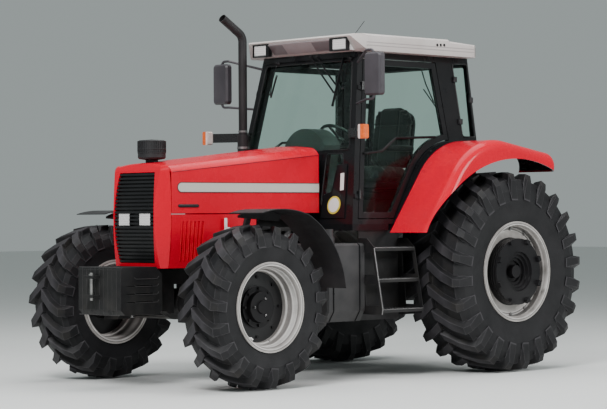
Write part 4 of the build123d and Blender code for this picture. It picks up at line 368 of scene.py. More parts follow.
STRIPE_GREY = (0.52, 0.49, 0.45)
red_paint = paint("red_paint", RED, RED_DEEP, 0.26, 0.05, dust=0.08, dust_top=1.2, wear_and_highlight=(0.70, 0.05, 0.05))
fender_red = paint("fender_red", RED, RED_DEEP, 0.26, 0.25, dust=0.10, dust_top=1.5, over=black_underside)
stripe_film = paint("stripe_film", STRIPE_GREY, darker(STRIPE_GREY, 0.92), 0.35, 0.2, dust=0.08,
                    over=stripe_border)
disc_black = paint("disc_black", (0.006, 0.006, 0.007), (0.012, 0.011, 0.012), 0.38, 0.15)
cab_black = paint("cab_black", (0.004, 0.004, 0.005), (0.009, 0.009, 0.010), 0.30, 0.3)
front_rim_paint = rim_finish("front_rim_paint", FRONT_AXLE_Y, FRONT_AXLE_Z, (0.345, 0.322, 0.303), 0.284)
rear_rim_paint = rim_finish("rear_rim_paint", REAR_AXLE_Y, REAR_AXLE_Z, (0.424, 0.392, 0.372), 0.300)
front_rubber = rubber("front_rubber", FRONT_AXLE_Y, FRONT_AXLE_Z, 0.655, 0.60)
rear_rubber = rubber("rear_rubber", REAR_AXLE_Y, REAR_AXLE_Z, 0.878, 0.82)
chassis_black = casting("chassis_black", (0.006, 0.006, 0.007), (0.016, 0.015, 0.015))
iron_black = casting("iron_black", (0.005, 0.005, 0.006), (0.012, 0.012, 0.012), 0.60, 70)
exhaust_black = casting("exhaust_black", (0.010, 0.009, 0.010), (0.020, 0.018, 0.019), 0.55, 200)
fascia_grey = moulded("fascia_grey", (0.27, 0.235, 0.24), (0.22, 0.19, 0.195), 0.45, 500, 0.0)
# Half the fascia's grey: painted shade for the fascia's recesses.
recess_shade_grey = moulded("recess_shade_grey", (0.135, 0.115, 0.12), (0.11, 0.095, 0.10), 0.5, 500, 0.0)
grille_black = moulded("grille_black", (0.004, 0.004, 0.005), (0.008, 0.008, 0.009), 0.42, 600)
black_plastic = moulded("black_plastic", (0.010, 0.010, 0.011), (0.018, 0.017, 0.019), 0.56, 600)
mirror_grey = moulded("mirror_grey", (0.040, 0.036, 0.042), (0.062, 0.056, 0.064), 0.38, 600, 0.0)
step_black = moulded("step_black", (0.008, 0.008, 0.009), (0.016, 0.015, 0.015), 0.45, 400, 0.25)
tank_black = moulded("tank_black", (0.026, 0.025, 0.026), (0.044, 0.042, 0.044), 0.42, 500, 0.22)
dash_green = moulded("dash_green", (0.030, 0.044, 0.041), (0.045, 0.062, 0.058), 0.55, 800, 0.0)
plate_white = moulded("plate_white", (0.72, 0.70, 0.68), (0.62, 0.60, 0.58), 0.4, 400, 0.0)
plate_yellow = moulded("plate_yellow", (0.62, 0.50, 0.06), (0.54, 0.44, 0.06), 0.4, 400, 0.0)
seal_rubber = moulded("seal_rubber", (0.005, 0.005, 0.006), (0.010, 0.010, 0.011), 0.35, 900, 0.0)
silver_glass = bare_steel("silver_glass", (0.80, 0.82, 0.83), 0.05)
drawn_steel = bare_steel("drawn_steel", (0.42, 0.41, 0.40), 0.38)
# Grey bare steel: real on clamps, bolts and plugs, a painted highlight on the step edges.
steel_and_highlight_grey = bare_steel("steel_and_highlight_grey", (0.30, 0.29, 0.29), 0.42)
plug_silver = bare_steel("plug_silver", (0.75, 0.74, 0.72), 0.28)
roof_skin = roof_finish("roof_skin")
window_glass = pane("window_glass", (0.86, 0.99, 0.945))
lamp_glass = lens("lamp_glass", (0.92, 0.90, 0.89), 700.0)
lamp_red = lens("lamp_red", (0.45, 0.01, 0.01), 800.0)
marker_finish = marker_lens("marker_finish", 0.25)
seat_cloth = seat_fabric("seat_cloth")

# Finish and the nodes that carry it.
DRESS = (
    (front_rubber, "front_tyre_left front_tyre_right"),
    (rear_rubber, "rear_tyre_left rear_tyre_right"),
    (front_rim_paint, "front_rim_left front_rim_right"),
    (rear_rim_paint, "rear_rim_left rear_rim_right"),
    (disc_black, "front_hub_left front_hub_right rear_hub_left rear_hub_right"),
    (chassis_black, "front_axle knuckle_left knuckle_right front_frame lower_links lift_arms lift_rods"),
    (iron_black, "front_weights engine_block transmission rear_axle drawbar"),
    (drawn_steel, "tie_rod tow_pin top_link"),
    (black_plastic, "mudguard_left mudguard_right precleaner"),
    (cab_black, "cab_frame cab_floor door_left door_right"),
    (window_glass, "cab_glass door_glass_left door_glass_right"),
    (red_paint, "bonnet nose side_panels"), (fender_red, "fenders"), (stripe_film, "bonnet_stripes"),
    (grille_black, "grille"), (lamp_glass, "headlamps work_lamps"), (marker_finish, "marker_lamps"),
    (exhaust_black, "exhaust"), (roof_skin, "roof"), (mirror_grey, "mirrors"),
    (silver_glass, "mirror_glasses"), (step_black, "steps"), (tank_black, "fuel_tanks"),
    (seat_cloth, "seat"), (dash_green, "dash"),
)
for finish, labels in DRESS:
    for label in labels.split():
        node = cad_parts[label]
        if node.material_slots:
            for holder in node.material_slots:
                holder.material = finish
        else:
            node.data.materials.append(finish)

# ---------------------------------------------------------------- places on the tractor
# Cab: heights of its floor and its roof's underside, and what its walls come to at each of the two.
CAB_LOW_Z, CAB_HIGH_Z = 1.310, 2.800
CAB_HALF = (0.785, 0.596)
CAB_FRONT = (1.305, 1.573)
CAB_REAR = (3.013, 2.979)
# Bonnet: where it starts, how long it is, and its half width there and what that gains behind.
BONNET_START, BONNET_LENGTH = -0.352, 1.617
BONNET_HALF, BONNET_GAIN = 0.368, 0.052


def lean(limits, z):
    """Value at a height, between those at the cab's floor and at its top."""
    low, high = limits
    return low + (high - low) * (z - CAB_LOW_Z) / (CAB_HIGH_Z - CAB_LOW_Z)


CAB_RISE = CAB_HIGH_Z - CAB_LOW_Z
UP = Vector((0, 0, 1))
FRONT_OUT = Vector((0, -CAB_RISE, CAB_FRONT[1] - CAB_FRONT[0])).normalized()
SIDE_OUT = Vector((CAB_RISE, 0, CAB_HALF[0] - CAB_HALF[1])).normalized()
REAR_OUT = Vector((0, CAB_RISE, CAB_REAR[0] - CAB_REAR[1])).normalized()


def front_point(x, z, proud=0.0):
    """Place on the cab's front face."""
    return Vector((x, back(lean(CAB_FRONT, z)), z)) + FRONT_OUT * proud


def side_point(side, station, z, proud=0.0):
    """Place on the cab's side face."""
    place = Vector((lean(CAB_HALF, z), back(station), z)) + SIDE_OUT * proud
    return Vector((side * place.x, place.y, place.z))


def rear_point(x, z, proud=0.0):
    """Place on the cab's rear face."""
    return Vector((x, back(lean(CAB_REAR, z)), z)) + REAR_OUT * proud


def on_front(proud, *places):
    """Line of places on the cab's front face, each an x and a z."""
    return [front_point(x, z, proud) for x, z in places]


def at_side(side, *places):
    """Line of places on one side, each an x, a station and a z."""
    return [(side * x, back(station), z) for x, station, z in places]


def bonnet_half(station):
    """Half width of the bonnet at a station."""
    return BONNET_HALF + (station - BONNET_START) * BONNET_GAIN / BONNET_LENGTH


# ---------------------------------------------------------------- shapes
def placed(name, mesh, finish, body, smooth=True):
    """Finished mesh as a piece on its body."""
    mesh.materials.clear()
    mesh.materials.append(finish)
    if smooth:
        mesh.shade_smooth()
    piece = bpy.data.objects.new(name, mesh)
    bpy.context.collection.objects.link(piece)
    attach(piece, body)
    return piece


def mesh_from(builder, name, crease=math.radians(35)):
    """Mesh from bmesh work, doubles merged, faces turned outwards, hard edges marked sharp."""
    bmesh.ops.remove_doubles(builder, verts=builder.verts, dist=0.00002)
    bmesh.ops.recalc_face_normals(builder, faces=builder.faces)
    for edge in builder.edges:
        edge.smooth = len(edge.link_faces) == 2 and edge.calc_face_angle(0) < crease
    mesh = bpy.data.meshes.new(name)
    builder.to_mesh(mesh)
    builder.free()
    return mesh


def eased(points, radius, closed=False, steps=6):
    """Line whose corners are rounded."""
    points = [Vector(place) for place in points]
    line = []
    for index, corner in enumerate(points):
        if not closed and index in (0, len(points) - 1):
            line.append(corner)
            continue
        before, after = points[index - 1], points[(index + 1) % len(points)]
        start = corner + (before - corner).normalized() * min(radius, (before - corner).length * 0.48)
        end = corner + (after - corner).normalized() * min(radius, (after - corner).length * 0.48)
        for step in range(steps + 1):
            share = step / steps
            line.append(start * (1 - share) ** 2 + corner * 2 * share * (1 - share) + end * share * share)
    return line


def ring(builder, centre, guide, other, radius, sides):
    """Ring of vertices about a centre."""
    turns = [2 * math.pi * step / sides for step in range(sides)]
    return [builder.verts.new(centre + (guide * math.cos(turn) + other * math.sin(turn)) * radius)
            for turn in turns]


def skin_over(builder, pairs, caps):
    """Faces between pairs of rings, and over the rings at the ends."""
    for one, two in pairs:
        sides = len(one)
        for step in range(sides):
            builder.faces.new((one[step], one[(step + 1) % sides], two[(step + 1) % sides], two[step]))
    for cap in caps:
        builder.faces.new(cap)


def add_rod(builder, points, radius, closed=False, sides=10):
    """Round rod along a line, with closed ends, or closed on itself."""
    count = len(points)
    rings = []
    guide = None
    for index, place in enumerate(points):
        ahead = points[(index + 1) % count] if closed or index < count - 1 else place
        behind = points[index - 1] if closed or index > 0 else place
        way = (ahead - behind).normalized()
        if guide is None:
            guide = way.orthogonal().normalized()
        guide = (guide - way * guide.dot(way)).normalized()
        rings.append(ring(builder, place, guide, way.cross(guide), radius, sides))
    pairs = list(zip(rings, rings[1:]))
    if closed:
        first, last = rings[0], rings[-1]
        shift = min(range(sides), key=lambda step: (first[step].co - last[0].co).length)
        pairs.append((last, first[shift:] + first[:shift]))
    skin_over(builder, pairs, () if closed else (rings[0], rings[-1]))


def rods(name, lines, finish, body, ease=0.0, closed=False, sides=10):
    """One piece of several round rods: each line has its points and its radius."""
    builder = bmesh.new()
    for points, radius in lines:
        line = eased(points, ease, closed) if ease else [Vector(place) for place in points]
        add_rod(builder, line, radius, closed, sides)
    return placed(name, mesh_from(builder, name), finish, body)


def ease_rim(builder, rim, edge, segments=2):
    """Rounds a set of edges."""
    bmesh.ops.bevel(builder, geom=rim, offset=edge, segments=segments, affect="EDGES", profile=0.6)


def add_slab(builder, outline, push, edge):
    """Flat piece from its outline, pushed out to a thickness, with eased outer edges."""
    low = [builder.verts.new(Vector(place)) for place in outline]
    high = [builder.verts.new(Vector(place) + push) for place in outline]
    builder.faces.new(low)
    top = builder.faces.new(high)
    for index in range(len(outline)):
        after = (index + 1) % len(outline)
        builder.faces.new((low[index], low[after], high[after], high[index]))
    ease_rim(builder, list(top.edges), edge)


def slabs(name, outlines, finish, body, edge=0.002):
    """One piece of several flat pieces: each has its outline and its thickness vector."""
    builder = bmesh.new()
    for outline, push in outlines:
        add_slab(builder, outline, push, edge)
    return placed(name, mesh_from(builder, name), finish, body)


def boxes(name, entries, finish, body):
    """One piece of several boxes: centre, size, radius of the eased edges, and a turn if it has one."""
    builder = bmesh.new()
    for centre, size, edge, *turn in entries:
        place = Matrix.Translation(centre) @ (turn[0].to_4x4() if turn else Matrix())
        made = bmesh.ops.create_cube(builder, size=1.0, matrix=place @ Matrix.Diagonal((*size, 1.0)))
        lines = dict.fromkeys(line for vert in made["verts"] for line in vert.link_edges)
        ease_rim(builder, list(lines), edge, 3)
    return placed(name, mesh_from(builder, name), finish, body)


def turned(name, entries, finish, body, sides=40):
    """One piece of several turned pieces: profile rows of distance and radius, base, axis."""
    builder = bmesh.new()
    for profile, base, axis in entries:
        axis = Vector(axis).normalized()
        guide = axis.orthogonal().normalized()
        rings = [ring(builder, Vector(base) + axis * along, guide, axis.cross(guide), max(radius, 0.0003),
                      sides) for along, radius in profile]
        skin_over(builder, zip(rings, rings[1:]), (rings[0], rings[-1]))
    return placed(name, mesh_from(builder, name), finish, body)


def band(radius, proud, wide, edge):
    """Profile of a flat ring round a tube."""
    return [(0, radius), (edge, radius + proud), (wide - edge, radius + proud), (wide, radius)]


# ---------------------------------------------------------------- repeated small pieces
def node_group(name, **fields):
    """Node group with its named inputs: the tree, the inputs' outlets and their identifiers."""
    tree = bpy.data.node_groups.new(name, "GeometryNodeTree")
    tree.interface.new_socket("Geometry", in_out="INPUT", socket_type="NodeSocketGeometry")
    tree.interface.new_socket("Geometry", in_out="OUTPUT", socket_type="NodeSocketGeometry")
    idents = {}
    for label, (kind, value) in fields.items():
        socket = tree.interface.new_socket(label.replace("_", " "), in_out="INPUT",
                                           socket_type="NodeSocket" + kind)
        if value is not None:
            socket.default_value = value
        idents[label] = socket.identifier
    return tree, tree.nodes.new("NodeGroupInput").outputs, idents


def close_group(tree, points, piece, finish, turn=None, **place):
    """Ends a node group: the piece on each point, moved to its place, as real geometry with its finish."""
    spread = add_node(tree, "GeometryNodeInstanceOnPoints", Points=points, Instance=piece)
    if turn:
        tree.links.new(turn.outputs[0], spread.inputs["Rotation"])
    if place:
        spread = add_node(tree, "GeometryNodeTransform", Geometry=spread.outputs[0], **place)
    real = add_node(tree, "GeometryNodeRealizeInstances", spread.outputs[0])
    dressed = add_node(tree, "GeometryNodeSetMaterial", real.outputs[0], Material=finish)
    add_node(tree, "NodeGroupOutput", dressed.outputs[0])


def bolt_row_group(finish):
    """Row of hexagon bolts with washers between two places."""
    tree, given, idents = node_group(
        "bolt_row", Start=("Vector", None), End=("Vector", None), Count=("Int", 4),
        Head_Radius=("Float", 0.011), Head_Height=("Float", 0.008), Facing=("Vector", None))
    line = add_node(tree, "GeometryNodeMeshLine", set_mode="END_POINTS", Count=given["Count"],
                    Start_Location=given["Start"], Offset=given["End"])
    head = add_node(tree, "GeometryNodeMeshCylinder", Vertices=6, Radius=given["Head Radius"],
                    Depth=given["Head Height"])
    wide = add_node(tree, "ShaderNodeMath", given["Head Radius"], 1.45, set_operation="MULTIPLY")
    washer = add_node(tree, "GeometryNodeMeshCylinder", Vertices=16, Radius=wide.outputs[0], Depth=0.003)
    bolt = add_node(tree, "GeometryNodeJoinGeometry")
    for part in (head, washer):
        tree.links.new(part.outputs["Mesh"], bolt.inputs[0])
    turn = add_node(tree, "FunctionNodeAlignRotationToVector", set_axis="Z", Vector=given["Facing"])
    close_group(tree, line.outputs["Mesh"], bolt.outputs[0], finish, turn)
    return tree, idents


def ring_group(name, finish, bolts):
    """Ring of bolt heads, or of blocks, each facing out from its middle."""
    size = {"Head_Radius": ("Float", 0.012)} if bolts else {"Block_Size": ("Vector", None)}
    tree, given, idents = node_group(
        name, Centre=("Vector", None), Lie=("Rotation", None), Count=("Int", 8),
        Ring_Radius=("Float", 0.1), **size)
    circle = add_node(tree, "GeometryNodeMeshCircle", Vertices=given["Count"], Radius=given["Ring Radius"])
    if bolts:
        piece = add_node(tree, "GeometryNodeMeshCylinder", Vertices=6, Radius=given["Head Radius"],
                         Depth=0.016)
    else:
        piece = add_node(tree, "GeometryNodeMeshCube", Size=given["Block Size"])
    turn = add_node(tree, "FunctionNodeAlignRotationToVector", set_axis="X",
                    Vector=add_node(tree, "GeometryNodeInputPosition").outputs[0])
    close_group(tree, circle.outputs["Mesh"], piece.outputs["Mesh"], finish, turn,
                Translation=given["Centre"], Rotation=given["Lie"])
    return tree, idents


def stud_group(finish):
    """Grid of round grip studs on a tread."""
    tree, given, idents = node_group(
        "tread_studs", Centre=("Vector", None), Wide=("Float", 0.2), Deep=("Float", 0.2),
        Across=("Int", 5), Along=("Int", 8), Stud_Radius=("Float", 0.008))
    grid = add_node(tree, "GeometryNodeMeshGrid", Size_X=given["Wide"], Size_Y=given["Deep"],
                    Vertices_X=given["Across"], Vertices_Y=given["Along"])
    small = add_node(tree, "ShaderNodeMath", given["Stud Radius"], 0.7, set_operation="MULTIPLY")
    stud = add_node(tree, "GeometryNodeMeshCone", Vertices=10, Radius_Top=small.outputs[0],
                    Radius_Bottom=given["Stud Radius"], Depth=0.005)
    close_group(tree, grid.outputs["Mesh"], stud.outputs["Mesh"], finish, Translation=given["Centre"])
    return tree, idents


def repeated(name, group, rows, finish, body):
    """Evaluates a node group once a row of settings and joins the results to one piece."""
    tree, idents = group
    joined = bmesh.new()
    holder = bpy.data.objects.new(name + "_maker", bpy.data.meshes.new(name + "_maker"))
    bpy.context.collection.objects.link(holder)
    for row in rows:
        modifier = holder.modifiers.new("maker", "NODES")
        modifier.node_group = tree
        for label, value in row.items():
            modifier[idents[label]] = value
        bpy.context.view_layer.update()
        graph = bpy.context.evaluated_depsgraph_get()
        result = bpy.data.meshes.new_from_object(holder.evaluated_get(graph))
        joined.from_mesh(result)
        bpy.data.meshes.remove(result)
        holder.modifiers.remove(modifier)
    bpy.data.objects.remove(holder)
    for edge in joined.edges:
        edge.smooth = False
    mesh = bpy.data.meshes.new(name)
    joined.to_mesh(mesh)
    joined.free()
    return placed(name, mesh, finish, body, smooth=False)


# ---------------------------------------------------------------- bonnet dress
GRIP_Z, GRIP_RADIUS = 1.472, 0.013
for side, hand in SIDES:
    grip = [(station + GRIP_RADIUS * math.cos(turn), GRIP_Z + GRIP_RADIUS * math.sin(turn))
            for station, start in ((-0.266, 90), (-0.074, -90))
            for turn in (math.radians(start + 15 * step) for step in range(13))]
    slabs("bonnet_grip_" + hand,
          [([(side * (bonnet_half(station) - 0.004), back(station), z) for station, z in grip],
            Vector((side * 0.008, 0, 0)))], grille_black, "bonnet")
    # Dark rod along the bonnet's crease: painted shade line.
    crease_shade = at_side(side, *((bonnet_half(station) + 0.0005, station,
                            1.744 + (station - BONNET_START) * 0.160 / BONNET_LENGTH)
                           for station in (-0.330, 0.2, 0.75, 1.255)))
    rods("bonnet_crease_shade_" + hand, [(crease_shade, 0.0022)], seal_rubber, "bonnet", sides=6)

lamp_front_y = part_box("headlamps")[0].y + 0.006
for lamp, middle in enumerate((0.133, -0.133)):
    boxes("headlamp_frame_%d" % lamp,
          [((middle + aside, lamp_front_y, 1.362), (0.008, 0.020, 0.120), 0.003)
           for aside in (-0.077, 0.077)]
          + [((middle, lamp_front_y, z), (0.162, 0.020, 0.008), 0.003) for z in (1.306, 1.418)],
          grille_black, "bonnet")

cap_low, cap_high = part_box("precleaner")


def on_cap(drop):
    """Place on the air cleaner cap's axis, below its top."""
    return ((cap_low.x + cap_high.x) / 2, (cap_low.y + cap_high.y) / 2, cap_high.z - drop)


CAP_RADIUS = 0.1155
repeated("precleaner_fins", ring_group("cap_fins", black_plastic, False),
         [dict(Centre=on_cap(0.062), Count=40, Ring_Radius=0.1165, Block_Size=(0.005, 0.006, 0.085))],
         black_plastic, "bonnet")
turned("precleaner_rings", [(band(CAP_RADIUS, 0.0033, wide, 0.002), on_cap(drop), UP)
                            for wide, drop in ((0.010, 0.116), (0.009, 0.022))], black_plastic, "bonnet", 48)

# ---------------------------------------------------------------- exhaust clamps
STACK_X, STACK_STATION = -0.488, 1.214
STACK_RADIUS, SILENCER_RADIUS = 0.0385, 0.0505
turned("exhaust_clamps", [(band(radius, 0.004, wide, 0.001), (STACK_X, back(STACK_STATION), z), UP)
                          for radius, wide, z in ((STACK_RADIUS, 0.018, 2.126),
                                                  (SILENCER_RADIUS, 0.021, 1.60),
                                                  (SILENCER_RADIUS, 0.021, 1.98))],
       steel_and_highlight_grey, "chassis", 36)

# ---------------------------------------------------------------- cab glazing trim
SCREEN_LOW_Z, WINDOWS_HIGH_Z = 1.946, 2.728
FOOT_LOW_Z, FOOT_HIGH_Z, FOOT_INNER_X = 1.470, 1.916, 0.370
screen_loop = on_front(0.001, *((side * (lean(CAB_HALF, z) - 0.062), z) for side, z in (
    (-1, SCREEN_LOW_Z), (1, SCREEN_LOW_Z), (1, WINDOWS_HIGH_Z), (-1, WINDOWS_HIGH_Z))))
foot_loops = []
quarter_loops = []
for side in (-1, 1):
    low_x, high_x = (side * (lean(CAB_HALF, z) - 0.135) for z in (FOOT_LOW_Z, FOOT_HIGH_Z))
    foot_loops.append((on_front(0.001, (side * FOOT_INNER_X, FOOT_LOW_Z), (low_x, FOOT_LOW_Z),
                                (high_x, FOOT_HIGH_Z), (side * FOOT_INNER_X, FOOT_HIGH_Z)), 0.006))
    quarter_loops.append(([side_point(side, station, z, 0.001) for station, z in (
        (2.810, 2.085), (2.765, 2.748), (2.962, 2.748), (2.977, 2.085))], 0.007))
rear_loop = [rear_point(x, z, 0.001) for x, z in (
    (-0.625, 1.700), (0.625, 1.700), (0.625, 2.085), (0.561, WINDOWS_HIGH_Z),
    (-0.561, WINDOWS_HIGH_Z), (-0.625, 2.085))]
rods("front_window_seals", [(screen_loop, 0.008)] + foot_loops, seal_rubber, "chassis", 0.04, True)
rods("quarter_window_seals", quarter_loops, seal_rubber, "chassis", 0.03, True)
rods("rear_window_seal", [(rear_loop, 0.008)], seal_rubber, "chassis", 0.04, True)

# ---------------------------------------------------------------- wipers
# Each arm: its spindle's x and z, its tip's, and its radius.
WIPER_ARMS = ((0.040, 2.780, 0.378, 2.452, 0.008), (0.120, 2.776, 0.392, 2.520, 0.008),
              (-0.388, 2.728, -0.428, 2.470, 0.005), (0.520, 2.700, 0.487, 2.482, 0.005))
rods("wiper_arms", [([front_point(x, z, 0.026), front_point((x + tip_x) / 2, (z + tip_z) / 2, 0.034),
                      front_point(tip_x, tip_z, 0.022)], radius)
                    for x, z, tip_x, tip_z, radius in WIPER_ARMS], cab_black, "chassis")
slabs("wiper_blades",
      [(on_front(0.004, (0.437, 2.752), (0.449, 2.752), (0.384, 2.330), (0.372, 2.330)), FRONT_OUT * 0.020),
       (on_front(0.004, (-0.380, 2.640), (-0.388, 2.640), (-0.432, 2.440), (-0.424, 2.440)),
        FRONT_OUT * 0.016)], seal_rubber, "chassis", 0.003)
turned("wiper_spindles",
       [([(0, 0.020), (0.014, 0.019), (0.022, 0.012), (0.036, 0.010)], place, FRONT_OUT) for place in
        on_front(0, (0.040, 2.780), (0.120, 2.776), (-0.388, 2.745), (0.520, 2.745))],
       black_plastic, "chassis", 24)
turned("wiper_tips", [([(0, 0.008), (0.003, 0.010), (0.012, 0.010), (0.015, 0.007)], place, FRONT_OUT)
                      for place in on_front(0.014, (-0.428, 2.466), (0.487, 2.478), (0.378, 2.452))],
       black_plastic, "chassis", 20)

# ---------------------------------------------------------------- cab front lower panels
# Outline of a panel beside the bonnet: x and z.
CORNER_PANEL = ((0.385, 1.360), (0.400, 1.562), (0.498, 1.584), (0.522, 1.822), (0.644, 1.826),
                (0.688, 1.360))
slabs("corner_panels", [(on_front(0, *((side * x, z) for x, z in CORNER_PANEL)), FRONT_OUT * 0.012)
                        for side in (-1, 1)], cab_black, "chassis", 0.004)
label_turn = Matrix.Rotation(math.radians(-10.2), 3, "X") @ Matrix.Rotation(math.radians(-7), 3, "Y")
boxes("label_plate", [(front_point(0.612, 1.672, 0.0135), (0.042, 0.004, 0.150), 0.0015, label_turn)],
      plate_white, "chassis")
ROUND_PLATE_X, ROUND_PLATE_Z = 0.546, 1.472
turned("round_plate_rim",
       [([(0, 0.078), (0.003, 0.078), (0.0035, 0.066), (0.0035, 0.0)],
         front_point(ROUND_PLATE_X, ROUND_PLATE_Z, 0.012), FRONT_OUT)], plate_yellow, "chassis")
turned("round_plate_face",
       [([(0, 0.062), (0.002, 0.062), (0.0022, 0.0)],
         front_point(ROUND_PLATE_X, ROUND_PLATE_Z, 0.0152), FRONT_OUT)], plate_white, "chassis")
boxes("side_labels", [((0.4065, back(0.206), 1.330), (0.003, 0.030, 0.080), 0.001),
                      ((0.4065, back(0.222), 1.283), (0.003, 0.062, 0.022), 0.001)], plate_white, "chassis")

# ---------------------------------------------------------------- roof dress
# The roof's sloping front face, from its lower to its upper edge: station and height.
BROW_LOW, BROW_HIGH = (1.528, 2.822), (1.428, 2.930)
BROW_OUT = Vector((0, -0.108, -0.100)).normalized()


def on_brow(proud, left, right, low, high):
    """Outline of a rectangle on the roof's sloping front face."""
    slope = (BROW_HIGH[0] - BROW_LOW[0]) / (BROW_HIGH[1] - BROW_LOW[1])
    return [Vector((x, back(BROW_LOW[0] + slope * (z - BROW_LOW[1])), z)) + BROW_OUT * proud
            for x, z in ((left, low), (right, low), (right, high), (left, high))]


slabs("roof_fascia", [(on_brow(0, -0.400, 0.400, 2.826, 2.916), BROW_OUT * 0.016)],
      fascia_grey, "chassis", 0.005)
# Recesses drawn as darker slabs: painted shade.
slabs("roof_fascia_recess_shade",
      [(on_brow(0.014, left, right, 2.834, 2.908), BROW_OUT * 0.004)
       for left, right in ((0.156, 0.384), (-0.384, -0.212))], recess_shade_grey, "chassis")
WORK_LAMP_X, WORK_LAMP_FRONT, WORK_LAMP_Z = 0.500, 1.440, 2.862
# Bars of a work lamp's frame: how far inwards of the lamp's middle and above it, width and height.
LAMP_BARS = ((0.096, 0, 0.034, 0.112), (-0.091, 0, 0.008, 0.112), (0, 0.053, 0.190, 0.008),
             (0, -0.053, 0.190, 0.008))
boxes("work_lamp_frames",
      [((side * (WORK_LAMP_X - inwards), back(WORK_LAMP_FRONT) + 0.014, WORK_LAMP_Z + up),
        (wide, 0.046, high), 0.003)
       for side in (-1, 1) for inwards, up, wide, high in LAMP_BARS], grille_black, "chassis")
boxes("roof_header", [((0, back(lean(CAB_FRONT, 2.765)) - 0.006, 2.776), (1.150, 0.022, 0.050), 0.006)],
      cab_black, "chassis")
rods("aerial", [([(0.02, back(2.05), 2.944), (0.02, back(2.06), 2.962)], 0.012),
                ([(0.02, back(2.06), 2.958), (0.02, back(2.24), 3.140)], 0.0028)], cab_black, "chassis")
repeated("roof_side_bolts", bolt_row_group(seal_rubber),
         [dict(Start=(side * 0.743, back(2.425), 2.889), End=(side * 0.743, back(2.515), 2.892), Count=3,
               Head_Radius=0.009, Head_Height=0.010, Facing=(float(side), 0.0, 0.0)) for side in (-1, 1)],
         seal_rubber, "chassis")

# ---------------------------------------------------------------- rear of the cab
TAIL_LAMP_Z, NUMBER_PLATE_Z = 1.600, 1.560
boxes("tail_lamp_cases", [(rear_point(side * 0.500, TAIL_LAMP_Z, 0.012), (0.215, 0.030, 0.100), 0.008)
                          for side in (-1, 1)], black_plastic, "chassis")
boxes("tail_lamp_glasses", [(rear_point(side * x, TAIL_LAMP_Z, 0.030), (wide, 0.030, 0.075), 0.006)
                            for side in (-1, 1) for x, wide in ((0.545, 0.095), (0.450, 0.080))],
      lamp_red, "chassis")
boxes("number_plate_holder", [(rear_point(0.0, NUMBER_PLATE_Z, 0.010), (0.360, 0.014, 0.150), 0.006)],
      black_plastic, "chassis")
boxes("number_plate_blank", [(rear_point(0.0, NUMBER_PLATE_Z, 0.018), (0.335, 0.004, 0.125), 0.0015)],
      plate_white, "chassis")
rods("rear_window_handle", [([rear_point(x, 1.745, proud) for x, proud in (
    (-0.20, 0.0), (-0.20, 0.045), (0.20, 0.045), (0.20, 0.0))], 0.010)], cab_black, "chassis", 0.03)
rods("rear_wiper", [([rear_point(*place) for place in line], 0.006) for line in (
    ((0.0, 2.760, 0.020), (0.05, 2.60, 0.030), (0.16, 2.42, 0.018)),
    ((0.04, 2.55, 0.010), (0.26, 2.30, 0.010)))], cab_black, "chassis")
boxes("quarter_hinges",
      [(side_point(side, station, z, 0.012), (0.022, 0.040, 0.050), 0.004) for side in (-1, 1)
       for station, z in ((2.772, 2.60), (2.792, 2.22), (2.960, 2.42))], black_plastic, "chassis")

# ---------------------------------------------------------------- doors
for side, hand in SIDES:
    boxes("door_handle_" + hand,
          [(side_point(side, 2.455, 1.925, 0.014), (0.030, 0.030, 0.070), 0.006),
           (side_point(side, 2.395, 1.940, 0.030), (0.016, 0.130, 0.026), 0.007)],
          black_plastic, "door_" + hand)
    turned("door_lock_" + hand, [([(0, 0.012), (0.004, 0.012), (0.006, 0.009), (0.0062, 0.0)],
                                  side_point(side, 2.455, 1.905, 0.028), (side, 0, 0))],
           plug_silver, "door_" + hand, 20)

# ---------------------------------------------------------------- steps and tanks
# Each tread: its height, and how far out it starts and ends.
TREADS = ((0.590, 0.830, 1.050), (0.845, 0.800, 1.000), (1.110, 0.770, 0.950))
# Grey rods along the tread edges and the stringer: painted highlight lines.
tread_edge_highlights = []
for side in (-1, 1):
    for height, inner, outer in TREADS:
        tread_edge_highlights.append((at_side(side, (outer - 0.004, 1.402, height - 0.002),
                                    (outer - 0.004, 1.888, height - 0.002)), 0.0045))
    tread_edge_highlights.append((at_side(side, (0.948, 1.397, 1.108), (0.998, 1.397, 0.845), (1.048, 1.397, 0.590),
                                (1.038, 1.397, 0.548)), 0.006))
rods("step_edge_highlights", tread_edge_highlights, steel_and_highlight_grey, "chassis", sides=8)
repeated("tread_studs", stud_group(step_black),
         [dict(Centre=(side * (inner + outer) / 2, back(1.644), height), Wide=outer - inner - 0.06,
               Deep=0.42, Across=5, Along=12) for side in (-1, 1) for height, inner, outer in TREADS],
         step_black, "chassis")
# Line of a tank strap: x and z.
STRAP = ((0.500, 0.4875), (0.780, 0.4875), (0.8425, 0.580), (0.8425, 1.130), (0.820, 1.1525))
rods("tank_straps", [(at_side(side, *((x, station, z) for x, z in STRAP)), 0.006)
                     for side in (-1, 1) for station in (1.02, 1.33)], cab_black, "chassis", 0.02, sides=8)

# ---------------------------------------------------------------- front weights
# Station of the ballast's front face, and x of its sides.
BALLAST_FRONT, BALLAST_X = -0.799, 0.2725
# Rods in a lighter black along the weights' edges and sides: painted highlight lines.
highlight_ridges = [(at_side(1, (-0.262, BALLAST_FRONT, z), (0.262, BALLAST_FRONT, z)), 0.003)
          for z in (0.9805, 0.5965)]
highlight_ridges += [(at_side(side, (BALLAST_X, -0.660, z + 0.014), (BALLAST_X, -0.640, z), (BALLAST_X, -0.420, z),
                    (BALLAST_X, -0.405, z + 0.018)), 0.0028)
           for side in (-1, 1) for z in (0.694, 0.759, 0.824, 0.884)]
rods("weight_highlight_ridges", highlight_ridges, tank_black, "chassis", sides=6)
